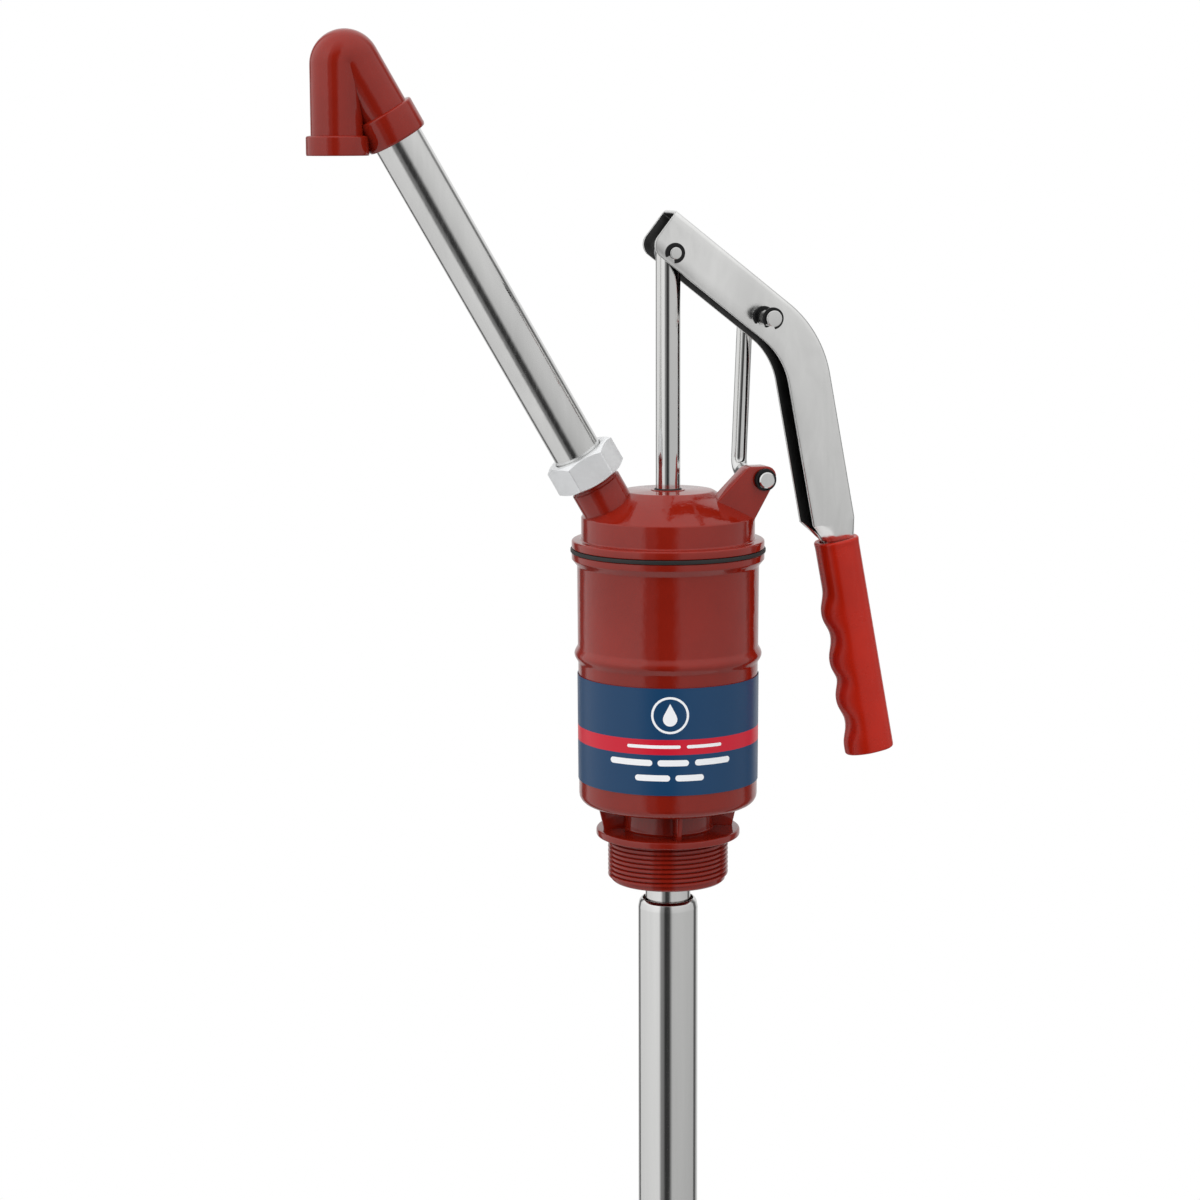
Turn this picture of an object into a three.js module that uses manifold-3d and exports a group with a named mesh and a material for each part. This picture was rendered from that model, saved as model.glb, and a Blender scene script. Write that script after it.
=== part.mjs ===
// Lever-action drum pump: a hand lever drives a piston down and up in a short barrel that
// screws into a drum's bung, draws liquid up a telescopic suction tube and lifts it out of a
// sloping spout. Millimetres, +Z up. The origin is the centre of the bung seat, which is the
// underside of the collar above the bung thread. The spout points to -X, the lever to +X.

import * as THREE from 'three';
import { mergeVertices } from 'three/addons/utils/BufferGeometryUtils.js';
import Module from 'manifold-3d';

const wasm = await Module();
wasm.setup();

// ---------------------------------------------------------------- driving dimensions

const GAP = 0.3; // clearance between pieces that touch or run on each other
const ROUND = 32; // facets round a large turned piece
const SMALL = 20; // facets round a pin, rod or tube

const bung = {
  crestRadius: 59.614 / 2, // 2 inch parallel pipe thread
  rootRadius: 56.656 / 2,
  pitch: 25.4 / 11,
  bottom: -22.8,
  collarRadius: 35.5,
  collarTop: 3.7,
};

const barrel = {
  bottom: 16.5,
  top: 141.3,
  radiusLow: 43.9,
  radiusHigh: 44.5,
  cornerRadius: 5,
  bore: 38,
  floor: 24,
  hubRadius: 21.8,
  flangeRadius: 47.1,
  flangeBottom: 137.2,
  beadHeight: 91.2,
  beadHalf: 3.5,
  beadProud: 1.75,
  headBore: 40.3, // the head's spigot screws in here
  headBoreBottom: 129.4,
  inletRadius: 9,
};

const fin = { count: 4, turn: -8, thickness: 2.6, rootRadius: 19, topRadius: 35.2, lowRadius: 32.1 };

const label = { bottom: 29, top: 81.3, thickness: 0.25, openAngle: 60 };

const head = {
  bottom: 143.4,
  flangeTop: 147.5,
  cylinderRadius: 42.4,
  cylinderTop: 158.8,
  crownRadius: 22.2,
  top: 171.5,
  spigotRadius: 40,
  spigotBottom: 130,
  innerRadius: 36.5,
  wall: 4.2,
  glandRadius: 14,
  glandBottom: 150.5,
  pocketRadius: 9,
  lipRadius: 6.9,
  lipBottom: 168.5,
};

// The stack in the head's gland, from the bottom up.
const gland = {
  bushTop: 161.5,
  sealLow: 161.8,
  sealHigh: 165.4,
  wiperLow: 165.7,
  wiperStep: 168.2,
  wiperTop: 172.5,
};

const footValve = {
  seatBore: 9.2,
  seatRadius: 17.5,
  seatTop: 26,
  discRadius: 12.5,
  discThick: 2,
  cageBore: 14.5,
  cageRadius: 17,
  cageTop: 33,
  cageLip: 5,
  lipBottom: 31.4,
  windowWidth: 8,
  windowLow: 27,
  windowHigh: 30.6,
};

const piston = {
  radius: 36.4,
  low: 114,
  high: 124,
  grooveRadius: 33.5,
  grooveLow: 116,
  grooveHigh: 121.8,
  boltBore: 4.4,
  ports: 6,
  portRadius: 4,
  portCircle: 14,
  discOuter: 19.5,
  discThick: 2,
  stopOuter: 11,
  stopLow: 129.4,
  stopHigh: 131,
};

const rod = { radius: 6, bottom: 105.5, stroke: 70.5 };

// The three pivots of the lever linkage, in the XZ plane, with the lever down.
const rodPivot = new THREE.Vector2(0, 286.5);
const linkPivot = new THREE.Vector2(45.1, 255.2);
const lugPivot = new THREE.Vector2(41.9, 177.5);

const lever = {
  halfWidth: 10.5,
  wall: 2,
  depth: 22.4,
  upperSlope: -38, // degrees from +X
  lowerSlope: -79.3,
  webAboveRodPivot: 16.7, // from the rod pivot up to the outside of the web
  endBeyondRodPivot: 11.2,
  bend: new THREE.Vector2(76.6, 248), // where the outsides of the two straight arms would meet
  bendRadius: 58,
  bottom: 152,
  tangHalfWidth: 6.8,
  tangDepth: 16,
  tangRound: 4.5,
  tangTop: 94, // distances down the lower arm, from the corner of the bend
  tangBottom: 186,
  cornerRadius: 6.5,
};

// The grip's distances are taken down the lower arm, from the corner of the bend.
const grip = {
  halfWidth: 9.9,
  depth: 21.9,
  round: 8.5,
  top: 104.8,
  bottom: 214.7,
  webSide: 2.4, // how far the outside stands off the lever's outside
  bumps: [140.6, 165.5, 186, 211],
  bumpHeight: 3.1,
  bumpSpread: 4.5,
};

const link = { radius: 3.9, runY: 16.5, tipY: -26.5, bend: 8 };
const lug = { nearY: -22, farY: -11.5 };
const pin = { radius: 2.9, groove: 2.5 };

const spout = {
  slope: 30, // from the vertical
  foot: new THREE.Vector3(-34.4, 0, head.top), // where its axis meets the height of the head's top
  tubeRadius: 11.75,
  tubeBore: 10.3,
  bossRadius: 12.6,
  bossBore: 9.2,
  bossEnd: 12,
  nutStart: 7.4,
  nutEnd: 22.4,
  nutAcross: 31,
  nutTurn: 22,
  nutChamfer: 1.5,
  nutShoulder: 18.4,
  tubeStart: 14.4,
  tubeEnd: 207.5,
  socketStart: 195.4,
  socketEnd: 209.5,
  socketRadius: 14.7,
  legRadius: 12.5,
  legBore: 10.3,
  bendHeight: 237,
  bendRadius: 4.1,
  outletBottom: 333.1,
  outletCollar: 9,
};

const suction = {
  innerRadius: 11.2,
  innerBore: 9.4,
  innerTop: -3,
  innerBottom: -478,
  outerRadius: 14.8,
  outerBore: 13.3,
  outerTop: -32.4,
  outerBottom: -502,
  neckRadius: 12.6,
  neckLength: 4.5,
};

// ---------------------------------------------------------------- shape helpers

const rad = THREE.MathUtils.degToRad;
const point = (x, y) => new THREE.Vector2(x, y);

// A solid for joining and cutting, from any closed three.js geometry.
function solid(geometry) {
  const bare = geometry.index ? geometry.toNonIndexed() : geometry.clone();
  bare.deleteAttribute('normal');
  bare.deleteAttribute('uv');
  const merged = mergeVertices(bare, 1e-4);
  const index = merged.index.array;
  const kept = [];
  for (let i = 0; i < index.length; i += 3) {
    const [a, b, c] = [index[i], index[i + 1], index[i + 2]];
    if (a !== b && b !== c && c !== a) kept.push(a, b, c);
  }
  return new wasm.Manifold(new wasm.Mesh({
    numProp: 3,
    vertProperties: new Float32Array(merged.attributes.position.array),
    triVerts: new Uint32Array(kept),
  }));
}

// The geometry of a joined or cut solid.
function geometryOf(manifold) {
  const mesh = manifold.getMesh();
  const geometry = new THREE.BufferGeometry();
  geometry.setAttribute('position', new THREE.BufferAttribute(new Float32Array(mesh.vertProperties), 3));
  geometry.setIndex(new THREE.BufferAttribute(new Uint32Array(mesh.triVerts), 1));
  return geometry;
}

const joined = (first, ...others) => others.reduce((sum, other) => sum.add(other), first);
const cut = (first, ...others) => others.reduce((rest, other) => rest.subtract(other), first);

// A piece turned about Z from [radius, height] pairs, taken round the section either way.
function turned(profile, facets = ROUND) {
  const points = profile.map(([r, z]) => point(r, z));
  const onAxis = points[0].x === 0 && points.at(-1).x === 0;
  if (!onAxis) points.push(points[0].clone());
  if (THREE.ShapeUtils.area(points) < 0) points.reverse();
  return solid(new THREE.LatheGeometry(points, facets).rotateX(Math.PI / 2));
}

const ring = (inner, outer, low, high, facets = SMALL) =>
  turned([[inner, low], [outer, low], [outer, high], [inner, high]], facets);

const rodOf = (radius, low, high, facets = SMALL) =>
  turned([[0, low], [radius, low], [radius, high], [0, high]], facets);

// A ring or rod whose axis runs along Y, through a point of the XZ plane.
const alongY = (piece, pivot) => piece.rotate([90, 0, 0]).translate([pivot.x, 0, pivot.y]);
const crossRod = (pivot, radius, nearY, farY) => alongY(rodOf(radius, -farY, -nearY), pivot);
const crossRing = (pivot, inner, outer, nearY, farY) => alongY(ring(inner, outer, -farY, -nearY), pivot);

// A side view in the XZ plane, given its thickness between two values of Y.
function sideView(shape, nearY, farY, curveSegments = 5) {
  const depth = farY - nearY;
  const geometry = new THREE.ExtrudeGeometry(shape, { depth, bevelEnabled: false, curveSegments });
  return solid(geometry.rotateX(Math.PI / 2).translate(0, farY, 0));
}

// A closed outline of straight sides, each corner rounded by its own radius: [x, z, radius].
function roundedOutline(corners) {
  const shape = new THREE.Shape();
  corners.forEach(([x, z, radius = 0], i) => {
    const corner = point(x, z);
    const before = point(...corners.at(i - 1)).sub(corner).normalize();
    const after = point(...corners[(i + 1) % corners.length]).sub(corner).normalize();
    const half = Math.acos(THREE.MathUtils.clamp(before.dot(after), -1, 1)) / 2;
    const reach = radius / Math.tan(half);
    const start = corner.clone().addScaledVector(before, reach);
    const end = corner.clone().addScaledVector(after, reach);
    if (i === 0) shape.moveTo(start.x, start.y);
    else shape.lineTo(start.x, start.y);
    if (radius > 0) {
      const toCentre = before.clone().add(after).normalize();
      const centre = corner.clone().addScaledVector(toCentre, radius / Math.sin(half));
      const from = Math.atan2(start.y - centre.y, start.x - centre.x);
      const to = Math.atan2(end.y - centre.y, end.x - centre.x);
      shape.absarc(centre.x, centre.y, radius, from, to, before.cross(after) > 0);
    }
  });
  shape.closePath();
  return shape;
}

function boxOf([x0, y0, z0], [x1, y1, z1]) {
  const box = new THREE.BoxGeometry(x1 - x0, y1 - y0, z1 - z0);
  return solid(box.translate((x0 + x1) / 2, (y0 + y1) / 2, (z0 + z1) / 2));
}

// ---------------------------------------------------------------- finishes

const finish = (color, roughness, metalness) => () =>
  new THREE.MeshStandardMaterial({ color, roughness, metalness });

const redEnamel = finish(0x8a322d, 0.3, 0.1);
const chrome = finish(0xd4d6d8, 0.12, 1);
const zincPlate = finish(0xd8dadc, 0.4, 0.7);
const blackOxide = finish(0x151515, 0.45, 0.6);
const blackRubber = finish(0x121212, 0.8, 0);
const vinyl = finish(0xb92c1e, 0.45, 0);
const labelPrint = finish(0x1f426e, 0.5, 0);
const brass = finish(0xb08d4a, 0.35, 1);
const steel = finish(0x9da0a3, 0.35, 1);
const nylon = finish(0xe6e2d6, 0.6, 0);

const pump = new THREE.Group();

function place(name, manifold, material, parent = pump) {
  const mesh = new THREE.Mesh(geometryOf(manifold), material());
  mesh.name = name;
  parent.add(mesh);
  return mesh;
}

// ---------------------------------------------------------------- barrel and bung thread

function barrelRadiusAt(z) {
  const share = (z - barrel.bottom) / (barrel.flangeBottom - barrel.bottom);
  return THREE.MathUtils.lerp(barrel.radiusLow, barrel.radiusHigh, share);
}

function threadProfile() {
  const turns = Math.floor(-bung.bottom / bung.pitch) - 1;
  const points = [[bung.rootRadius, bung.bottom]];
  for (let i = 0; i < turns; i += 1) {
    const z = bung.bottom + (i + 0.5) * bung.pitch;
    points.push([bung.crestRadius, z], [bung.rootRadius, z + bung.pitch / 2]);
  }
  points.push([bung.rootRadius, 0]);
  return points;
}

function beadProfile() {
  const points = [];
  const steps = 3;
  for (let i = 0; i <= steps; i += 1) {
    const angle = Math.PI * (i / steps - 0.5);
    const z = barrel.beadHeight + barrel.beadHalf * Math.sin(angle);
    points.push([barrelRadiusAt(z) + barrel.beadProud * Math.cos(angle), z]);
  }
  return points;
}

// The barrel: a round pot whose floor has a hole for the hub of the bung neck.
function pumpBody() {
  const steps = 3;
  const cornerArc = [];
  for (let i = 0; i <= steps; i += 1) {
    const angle = (Math.PI / 2) * (i / steps);
    cornerArc.push([
      barrel.radiusLow - barrel.cornerRadius * (1 - Math.sin(angle)),
      barrel.bottom + barrel.cornerRadius * (1 - Math.cos(angle)),
    ]);
  }
  return turned([
    [barrel.hubRadius + GAP, barrel.bottom],
    ...cornerArc,
    ...beadProfile(),
    [barrel.radiusHigh, barrel.flangeBottom - 1.5],
    [barrel.flangeRadius - 0.9, barrel.flangeBottom],
    [barrel.flangeRadius, barrel.flangeBottom + 1],
    [barrel.flangeRadius, barrel.top],
    [barrel.headBore, barrel.top],
    [barrel.headBore, barrel.headBoreBottom],
    [barrel.bore, barrel.headBoreBottom],
    [barrel.bore, barrel.floor],
    [barrel.hubRadius + GAP, barrel.floor],
  ]);
}

// The neck under it: thread, collar, hub and the ribs between collar and barrel.
function bungNeck() {
  const tubeBore = suction.innerRadius + GAP;
  const tubeStop = -2;
  const recess = { inner: suction.outerRadius + 0.7, outer: 25, roof: -4 };
  const shell = turned([
    ...threadProfile(),
    [bung.collarRadius, 0],
    [bung.collarRadius, bung.collarTop],
    [barrel.hubRadius, bung.collarTop],
    [barrel.hubRadius, barrel.floor],
    [barrel.inletRadius, barrel.floor],
    [barrel.inletRadius, tubeStop],
    [tubeBore, tubeStop],
    [tubeBore, bung.bottom],
    [recess.inner, bung.bottom],
    [recess.inner, recess.roof],
    [recess.outer, recess.roof],
    [recess.outer, bung.bottom],
  ]);
  const finShape = roundedOutline([
    [fin.rootRadius, bung.collarTop - 0.4],
    [fin.lowRadius, bung.collarTop - 0.4],
    [fin.topRadius, barrel.bottom - GAP],
    [fin.rootRadius, barrel.bottom - GAP],
  ]);
  const fins = Array.from({ length: fin.count }, (_, i) =>
    sideView(finShape, -fin.thickness / 2, fin.thickness / 2)
      .rotate([0, 0, fin.turn + (i * 360) / fin.count]));
  return joined(shell, ...fins);
}

place('pump_body', pumpBody(), redEnamel);
place('bung_neck', bungNeck(), redEnamel);

function labelSleeve() {
  const low = barrelRadiusAt(label.bottom) + 0.1;
  const high = barrelRadiusAt(label.top) + 0.1;
  const sleeve = turned([
    [low, label.bottom],
    [low + label.thickness, label.bottom],
    [high + label.thickness, label.top],
    [high, label.top],
  ]);
  const reach = 60;
  const half = reach * Math.tan(rad(label.openAngle / 2));
  const wedge = new THREE.Shape([point(0, 0), point(half, reach), point(-half, reach)]);
  const gap = new THREE.ExtrudeGeometry(wedge, { depth: 100, bevelEnabled: false });
  return cut(sleeve, solid(gap));
}

place('label', labelSleeve(), labelPrint);
place('head_gasket', ring(barrel.headBore, 47.7, barrel.top + 0.1, head.bottom - 0.1, ROUND), blackRubber);

// ---------------------------------------------------------------- head with spout boss and link lug

// Pieces of the spout are drawn along their own axis and then leant over.
const leaning = (piece) =>
  piece.rotate([0, -spout.slope, 0]).translate([spout.foot.x, spout.foot.y, spout.foot.z]);

// A tapered plate, its pin hole close to the right-hand edge. Corners are from the pin.
function linkLug() {
  const corners = [[-28, -13.85], [-7.9, 6.25, 4], [9.8, 6.25, 5.6], [-7, -23.6], [-28, -23.6]];
  const outline = corners.map(([x, z, radius]) => [lugPivot.x + x, lugPivot.y + z, radius]);
  return sideView(roundedOutline(outline), lug.nearY, lug.farY);
}

function cylinderHead() {
  const outside = turned([
    [0, head.spigotBottom],
    [head.spigotRadius, head.spigotBottom],
    [head.spigotRadius, head.bottom],
    [barrel.flangeRadius, head.bottom],
    [barrel.flangeRadius, head.flangeTop - 0.8],
    [barrel.flangeRadius - 0.8, head.flangeTop],
    [head.cylinderRadius + 0.8, head.flangeTop],
    [head.cylinderRadius, head.flangeTop + 0.8],
    [head.cylinderRadius, head.cylinderTop - 0.9],
    [head.cylinderRadius - 1, head.cylinderTop],
    [head.crownRadius, head.top],
    [0, head.top],
  ]);
  const cavity = turned([
    [head.glandRadius, head.spigotBottom - 1],
    [head.innerRadius, head.spigotBottom - 1],
    [head.innerRadius, head.cylinderTop - head.wall],
    [head.crownRadius - 2, head.top - head.wall],
    [head.glandRadius, head.top - head.wall],
  ]);
  const boss = leaning(rodOf(spout.bossRadius, -14, spout.bossEnd));
  const bossBore = leaning(rodOf(spout.bossBore, -20, spout.bossEnd + 1));
  const underGland = rodOf(head.glandRadius + 0.1, head.spigotBottom - 1, head.glandBottom);
  const pocket = rodOf(head.pocketRadius, head.glandBottom - 1, head.lipBottom);
  const lip = rodOf(head.lipRadius, head.lipBottom - 1, head.top + 1);
  const lugHole = crossRod(lugPivot, link.radius + GAP, lug.nearY - 1, lug.farY + 1);
  const skin = joined(outside, boss, linkLug());
  return cut(skin, cavity, underGland, bossBore, pocket, lip, lugHole);
}

place('cylinder_head', cylinderHead(), redEnamel);

// ---------------------------------------------------------------- gland round the piston rod

const rodClear = rod.radius + 0.1;
const pocketFit = head.pocketRadius - 0.15;
const rodWiper = turned([
  [rodClear, gland.wiperLow],
  [pocketFit, gland.wiperLow],
  [pocketFit, gland.wiperStep],
  [head.lipRadius - 0.2, gland.wiperStep],
  [head.lipRadius - 0.2, gland.wiperTop - 0.6],
  [rodClear + 0.15, gland.wiperTop],
  [rodClear, gland.wiperTop],
], SMALL);

place('gland_bush', ring(rodClear, pocketFit, head.glandBottom, gland.bushTop), brass);
place('rod_seal', ring(rodClear, pocketFit, gland.sealLow, gland.sealHigh), blackRubber);
place('rod_wiper', rodWiper, blackRubber);

// ---------------------------------------------------------------- foot valve in the barrel's floor

function footValveCage() {
  const valve = footValve;
  const shell = turned([
    [valve.cageBore, valve.seatTop + 0.2],
    [valve.cageRadius, valve.seatTop + 0.2],
    [valve.cageRadius, valve.cageTop],
    [valve.cageLip, valve.cageTop],
    [valve.cageLip, valve.lipBottom],
    [valve.cageBore, valve.lipBottom],
  ], SMALL);
  const [reach, half] = [20, valve.windowWidth / 2];
  const windows = [0, 60, 120].map((turn) =>
    boxOf([-reach, -half, valve.windowLow], [reach, half, valve.windowHigh]).rotate([0, 0, turn]));
  return cut(shell, ...windows);
}

const discLow = footValve.seatTop + 0.2;
place('foot_valve_seat',
  ring(footValve.seatBore, footValve.seatRadius, barrel.floor + 0.1, footValve.seatTop), brass);
place('foot_valve_cage', footValveCage(), steel);
place('foot_valve_disc', rodOf(footValve.discRadius, discLow, discLow + footValve.discThick), blackRubber);

// ---------------------------------------------------------------- piston and rod

function pistonRod() {
  const top = rodPivot.y + 7.5;
  const [boltRadius, shoulder] = [piston.boltBore - 0.2, piston.high + 1.5];
  const stem = turned([
    [0, rod.bottom],
    [boltRadius, rod.bottom],
    [boltRadius, shoulder],
    [rod.radius, shoulder],
    [rod.radius, top - 4],
    [rod.radius - 1.4, top - 1],
    [rod.radius - 3.8, top],
    [0, top],
  ], SMALL);
  return cut(stem, crossRod(rodPivot, pin.radius + 0.15, -9, 9));
}

function pistonBody() {
  const plate = turned([
    [piston.boltBore, piston.low],
    [piston.radius, piston.low],
    [piston.radius, piston.grooveLow],
    [piston.grooveRadius, piston.grooveLow],
    [piston.grooveRadius, piston.grooveHigh],
    [piston.radius, piston.grooveHigh],
    [piston.radius, piston.high],
    [piston.boltBore, piston.high],
  ]);
  const ports = Array.from({ length: piston.ports }, (_, i) =>
    rodOf(piston.portRadius, piston.low - 1, piston.high + 1, 8)
      .translate([piston.portCircle, 0, 0])
      .rotate([0, 0, (i * 360) / piston.ports]));
  return cut(plate, ...ports);
}

function pistonNut() {
  const [radius, low, high] = [8.5, rod.bottom + 1.5, piston.low - 0.4];
  return cut(rodOf(radius, low, high, 6), rodOf(piston.boltBore - 0.05, low - 1, high + 1));
}

const sealInner = piston.grooveRadius + 0.2;
const pistonDiscLow = piston.high + 0.2;
place('piston_rod', pistonRod(), chrome);
place('piston_body', pistonBody(), brass);
place('piston_seal',
  ring(sealInner, barrel.bore - 0.5, piston.grooveLow + 0.2, piston.grooveHigh - 0.2, ROUND), blackRubber);
place('piston_nut', pistonNut(), zincPlate);
place('piston_valve_disc',
  ring(rod.radius + 0.3, piston.discOuter, pistonDiscLow, pistonDiscLow + piston.discThick), blackRubber);
place('piston_valve_stop', ring(rod.radius + 0.1, piston.stopOuter, piston.stopLow, piston.stopHigh), steel);

// ---------------------------------------------------------------- spout: nut, tube and elbow

const spoutFrame = new THREE.Group();
spoutFrame.position.copy(spout.foot);
spoutFrame.rotation.y = -rad(spout.slope);
pump.add(spoutFrame);

function unionNut() {
  const cornerRadius = spout.nutAcross / 2 / Math.cos(Math.PI / 6);
  const flatRadius = spout.nutAcross / 2;
  const hex = rodOf(cornerRadius, spout.nutStart, spout.nutEnd, 6).rotate([0, 0, spout.nutTurn]);
  const trim = turned([
    [0, spout.nutStart],
    [flatRadius, spout.nutStart],
    [cornerRadius + 0.1, spout.nutStart + spout.nutChamfer],
    [cornerRadius + 0.1, spout.nutEnd - spout.nutChamfer],
    [flatRadius, spout.nutEnd],
    [0, spout.nutEnd],
  ]);
  const threadBore = rodOf(spout.bossRadius + GAP, spout.nutStart - 1, spout.nutShoulder);
  const tubeHole = rodOf(spout.tubeRadius + GAP, spout.nutShoulder - 1, spout.nutEnd + 1);
  return cut(hex.intersect(trim), threadBore, tubeHole);
}

function spoutFerrule() {
  return ring(spout.tubeRadius + 0.1, spout.bossRadius + 0.05, spout.tubeStart, spout.nutShoulder - 0.3);
}

// The bend of the elbow: a round section turned about a centre that lies inside the section,
// kept only over the 150 degrees that the spout turns through.
function elbowBend(sectionRadius) {
  const steps = 8;
  const profile = [];
  const inner = Math.acos(-spout.bendRadius / sectionRadius);
  for (let i = 0; i <= steps; i += 1) {
    const angle = -inner + (2 * inner * i) / steps;
    const x = spout.bendRadius + sectionRadius * Math.cos(angle);
    profile.push([i === 0 || i === steps ? 0 : x, sectionRadius * Math.sin(angle)]);
  }
  const apple = turned(profile, SMALL).rotate([90, 0, 0]);
  const reach = 40;
  const arc = [0, 50, 100, 180 - spout.slope].map((angle) =>
    point(reach * Math.cos(rad(angle)), reach * Math.sin(rad(angle))));
  const wedge = sideView(new THREE.Shape([point(0, 0), ...arc]), -reach, reach);
  return apple.intersect(wedge).translate([-spout.bendRadius, 0, spout.bendHeight]);
}

// The down-turned leg, drawn from the end of the bend. Its length is worked out from the
// height of the outlet.
function outletLeg(radius, from, to) {
  const turn = 180 - spout.slope;
  const end = point(Math.cos(rad(turn)), Math.sin(rad(turn))).multiplyScalar(spout.bendRadius);
  return rodOf(radius, from, to)
    .rotate([0, -turn, 0])
    .translate([end.x - spout.bendRadius, 0, end.y + spout.bendHeight]);
}

function spoutElbow() {
  const lean = rad(spout.slope);
  const bendCentreZ = spout.foot.z + spout.bendHeight * Math.cos(lean) - spout.bendRadius * Math.sin(lean);
  const drop = bendCentreZ - spout.outletBottom;
  const outside = joined(
    rodOf(spout.socketRadius, spout.socketStart, spout.socketEnd),
    rodOf(spout.legRadius, spout.socketEnd - 1, spout.bendHeight + 0.01),
    elbowBend(spout.legRadius),
    outletLeg(spout.legRadius, -0.01, drop),
    outletLeg(spout.socketRadius, drop - spout.outletCollar, drop),
  );
  const bore = joined(
    rodOf(spout.tubeRadius + GAP, spout.socketStart - 1, spout.tubeEnd + GAP),
    rodOf(spout.legBore, spout.tubeEnd - 1, spout.bendHeight + 0.01),
    elbowBend(spout.legBore),
    outletLeg(spout.legBore, -0.01, drop + 1),
  );
  return cut(outside, bore);
}

place('union_nut', unionNut(), zincPlate, spoutFrame);
place('spout_seal', ring(9.4, 12.4, 12.3, 14.1), blackRubber, spoutFrame);
place('spout_ferrule', spoutFerrule(), brass, spoutFrame);
place('discharge_tube', ring(spout.tubeBore, spout.tubeRadius, spout.tubeStart, spout.tubeEnd), chrome,
  spoutFrame);
place('spout_elbow', spoutElbow(), redEnamel, spoutFrame);

// ---------------------------------------------------------------- lever

const direction = (degrees) => point(Math.cos(rad(degrees)), Math.sin(rad(degrees)));

// The lever's side view: two straight arms that meet in a round bend. inset moves the outside
// in, and depth is how deep the channel is from there.
function leverOutline(inset, depth, endZ, startInset, rodEndRadius) {
  const along = direction(lever.upperSlope);
  const down = direction(lever.lowerSlope);
  const inUpper = direction(lever.upperSlope - 90);
  const inLower = direction(lever.lowerSlope - 90);
  const between = lever.upperSlope - lever.lowerSlope;
  const meet = (offset) => {
    const half = rad(between / 2);
    const inward = direction((lever.upperSlope + lever.lowerSlope) / 2 - 90);
    return lever.bend.clone().addScaledVector(inward, offset / Math.cos(half));
  };
  const start = (offset) => rodPivot.clone()
    .addScaledVector(along, startInset - lever.endBeyondRodPivot)
    .addScaledVector(inUpper, offset - lever.webAboveRodPivot);
  const finishAt = (offset) => {
    const corner = meet(offset);
    return corner.addScaledVector(down, (endZ - corner.y) / down.y);
  };
  const outer = inset;
  const inner = inset + depth;
  return roundedOutline([
    [...start(outer).toArray(), 0.8],
    [...start(inner).toArray(), rodEndRadius],
    [...meet(inner).toArray(), lever.bendRadius - inner],
    [...finishAt(inner).toArray(), 0.8],
    [...finishAt(outer).toArray(), 0.8],
    [...meet(outer).toArray(), lever.bendRadius - outer],
  ]);
}

// A point of the side view given by its distance inward from the lower arm's outside and its
// distance down the arm from the corner of the bend.
const armDown = direction(lever.lowerSlope);
const armInward = direction(lever.lowerSlope - 90);
const onArm = (inward, down) =>
  lever.bend.clone().addScaledVector(armInward, inward).addScaledVector(armDown, down);

// A bar of rounded section along the lower arm. near and far are its distances inward from
// the arm's outside, from and to its distances down the arm.
function armBar({ near, far, halfWidth, round, from, to }) {
  const shape = roundedOutline([
    [near, -halfWidth, round],
    [far, -halfWidth, round],
    [far, halfWidth, round],
    [near, halfWidth, round],
  ]);
  const bar = new THREE.ExtrudeGeometry(shape, { depth: to - from, bevelEnabled: false, curveSegments: 4 });
  const start = onArm(0, from);
  const frame = new THREE.Matrix4().makeBasis(
    new THREE.Vector3(armInward.x, 0, armInward.y),
    new THREE.Vector3(0, 1, 0),
    new THREE.Vector3(armDown.x, 0, armDown.y),
  );
  return solid(bar.applyMatrix4(frame.setPosition(start.x, 0, start.y)));
}

// Inside the grip the channel is rolled in to a narrower one with rounded corners.
function tang(margin) {
  const { wall, tangDepth, tangHalfWidth, tangRound, tangTop, tangBottom } = lever;
  const outside = armBar({
    near: -margin,
    far: tangDepth + margin,
    halfWidth: tangHalfWidth + margin,
    round: tangRound + margin,
    from: tangTop,
    to: tangBottom + margin,
  });
  if (margin > 0) return outside;
  const slot = 3;
  const hollow = armBar({
    near: wall,
    far: tangDepth - wall,
    halfWidth: tangHalfWidth - wall,
    round: tangRound - wall,
    from: tangTop - 1,
    to: tangBottom + 1,
  });
  const mouth = armBar({
    near: tangDepth - wall - 1,
    far: tangDepth + 1,
    halfWidth: slot,
    round: 0.1,
    from: tangTop - 1,
    to: tangBottom + 1,
  });
  return cut(outside, hollow, mouth);
}

function leverChannel() {
  const { halfWidth, wall, depth } = lever;
  const arm = cut(
    sideView(leverOutline(0, depth, lever.bottom, 0, lever.cornerRadius), -halfWidth, halfWidth),
    sideView(leverOutline(wall, depth + 4, lever.bottom - 4, -4, 0.5), wall - halfWidth, halfWidth - wall),
  );
  return cut(
    joined(arm, tang(0)),
    crossRod(rodPivot, pin.radius + 0.1, -12, 12),
    crossRod(linkPivot, link.radius + 0.2, -12, 12),
  );
}

place('lever_channel', leverChannel(), chrome);

// The grip is a moulded sleeve, straight on the outside, with a bump between each two fingers.
function gripOutline() {
  const steps = 40;
  const endChamfer = 2.5;
  const near = -grip.webSide;
  const far = grip.depth - grip.webSide;
  const rise = (down) => grip.bumps.reduce((sum, middle) =>
    sum + grip.bumpHeight * Math.exp(-((down - middle) ** 2) / (2 * grip.bumpSpread ** 2)), 0);
  const points = [onArm(near, grip.top)];
  for (let i = 0; i <= steps; i += 1) {
    const down = THREE.MathUtils.lerp(grip.top, grip.bottom - endChamfer, i / steps);
    points.push(onArm(far + rise(down), down));
  }
  points.push(onArm(far, grip.bottom), onArm(near + endChamfer, grip.bottom));
  points.push(onArm(near, grip.bottom - endChamfer));
  return new THREE.Shape(points);
}

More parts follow.
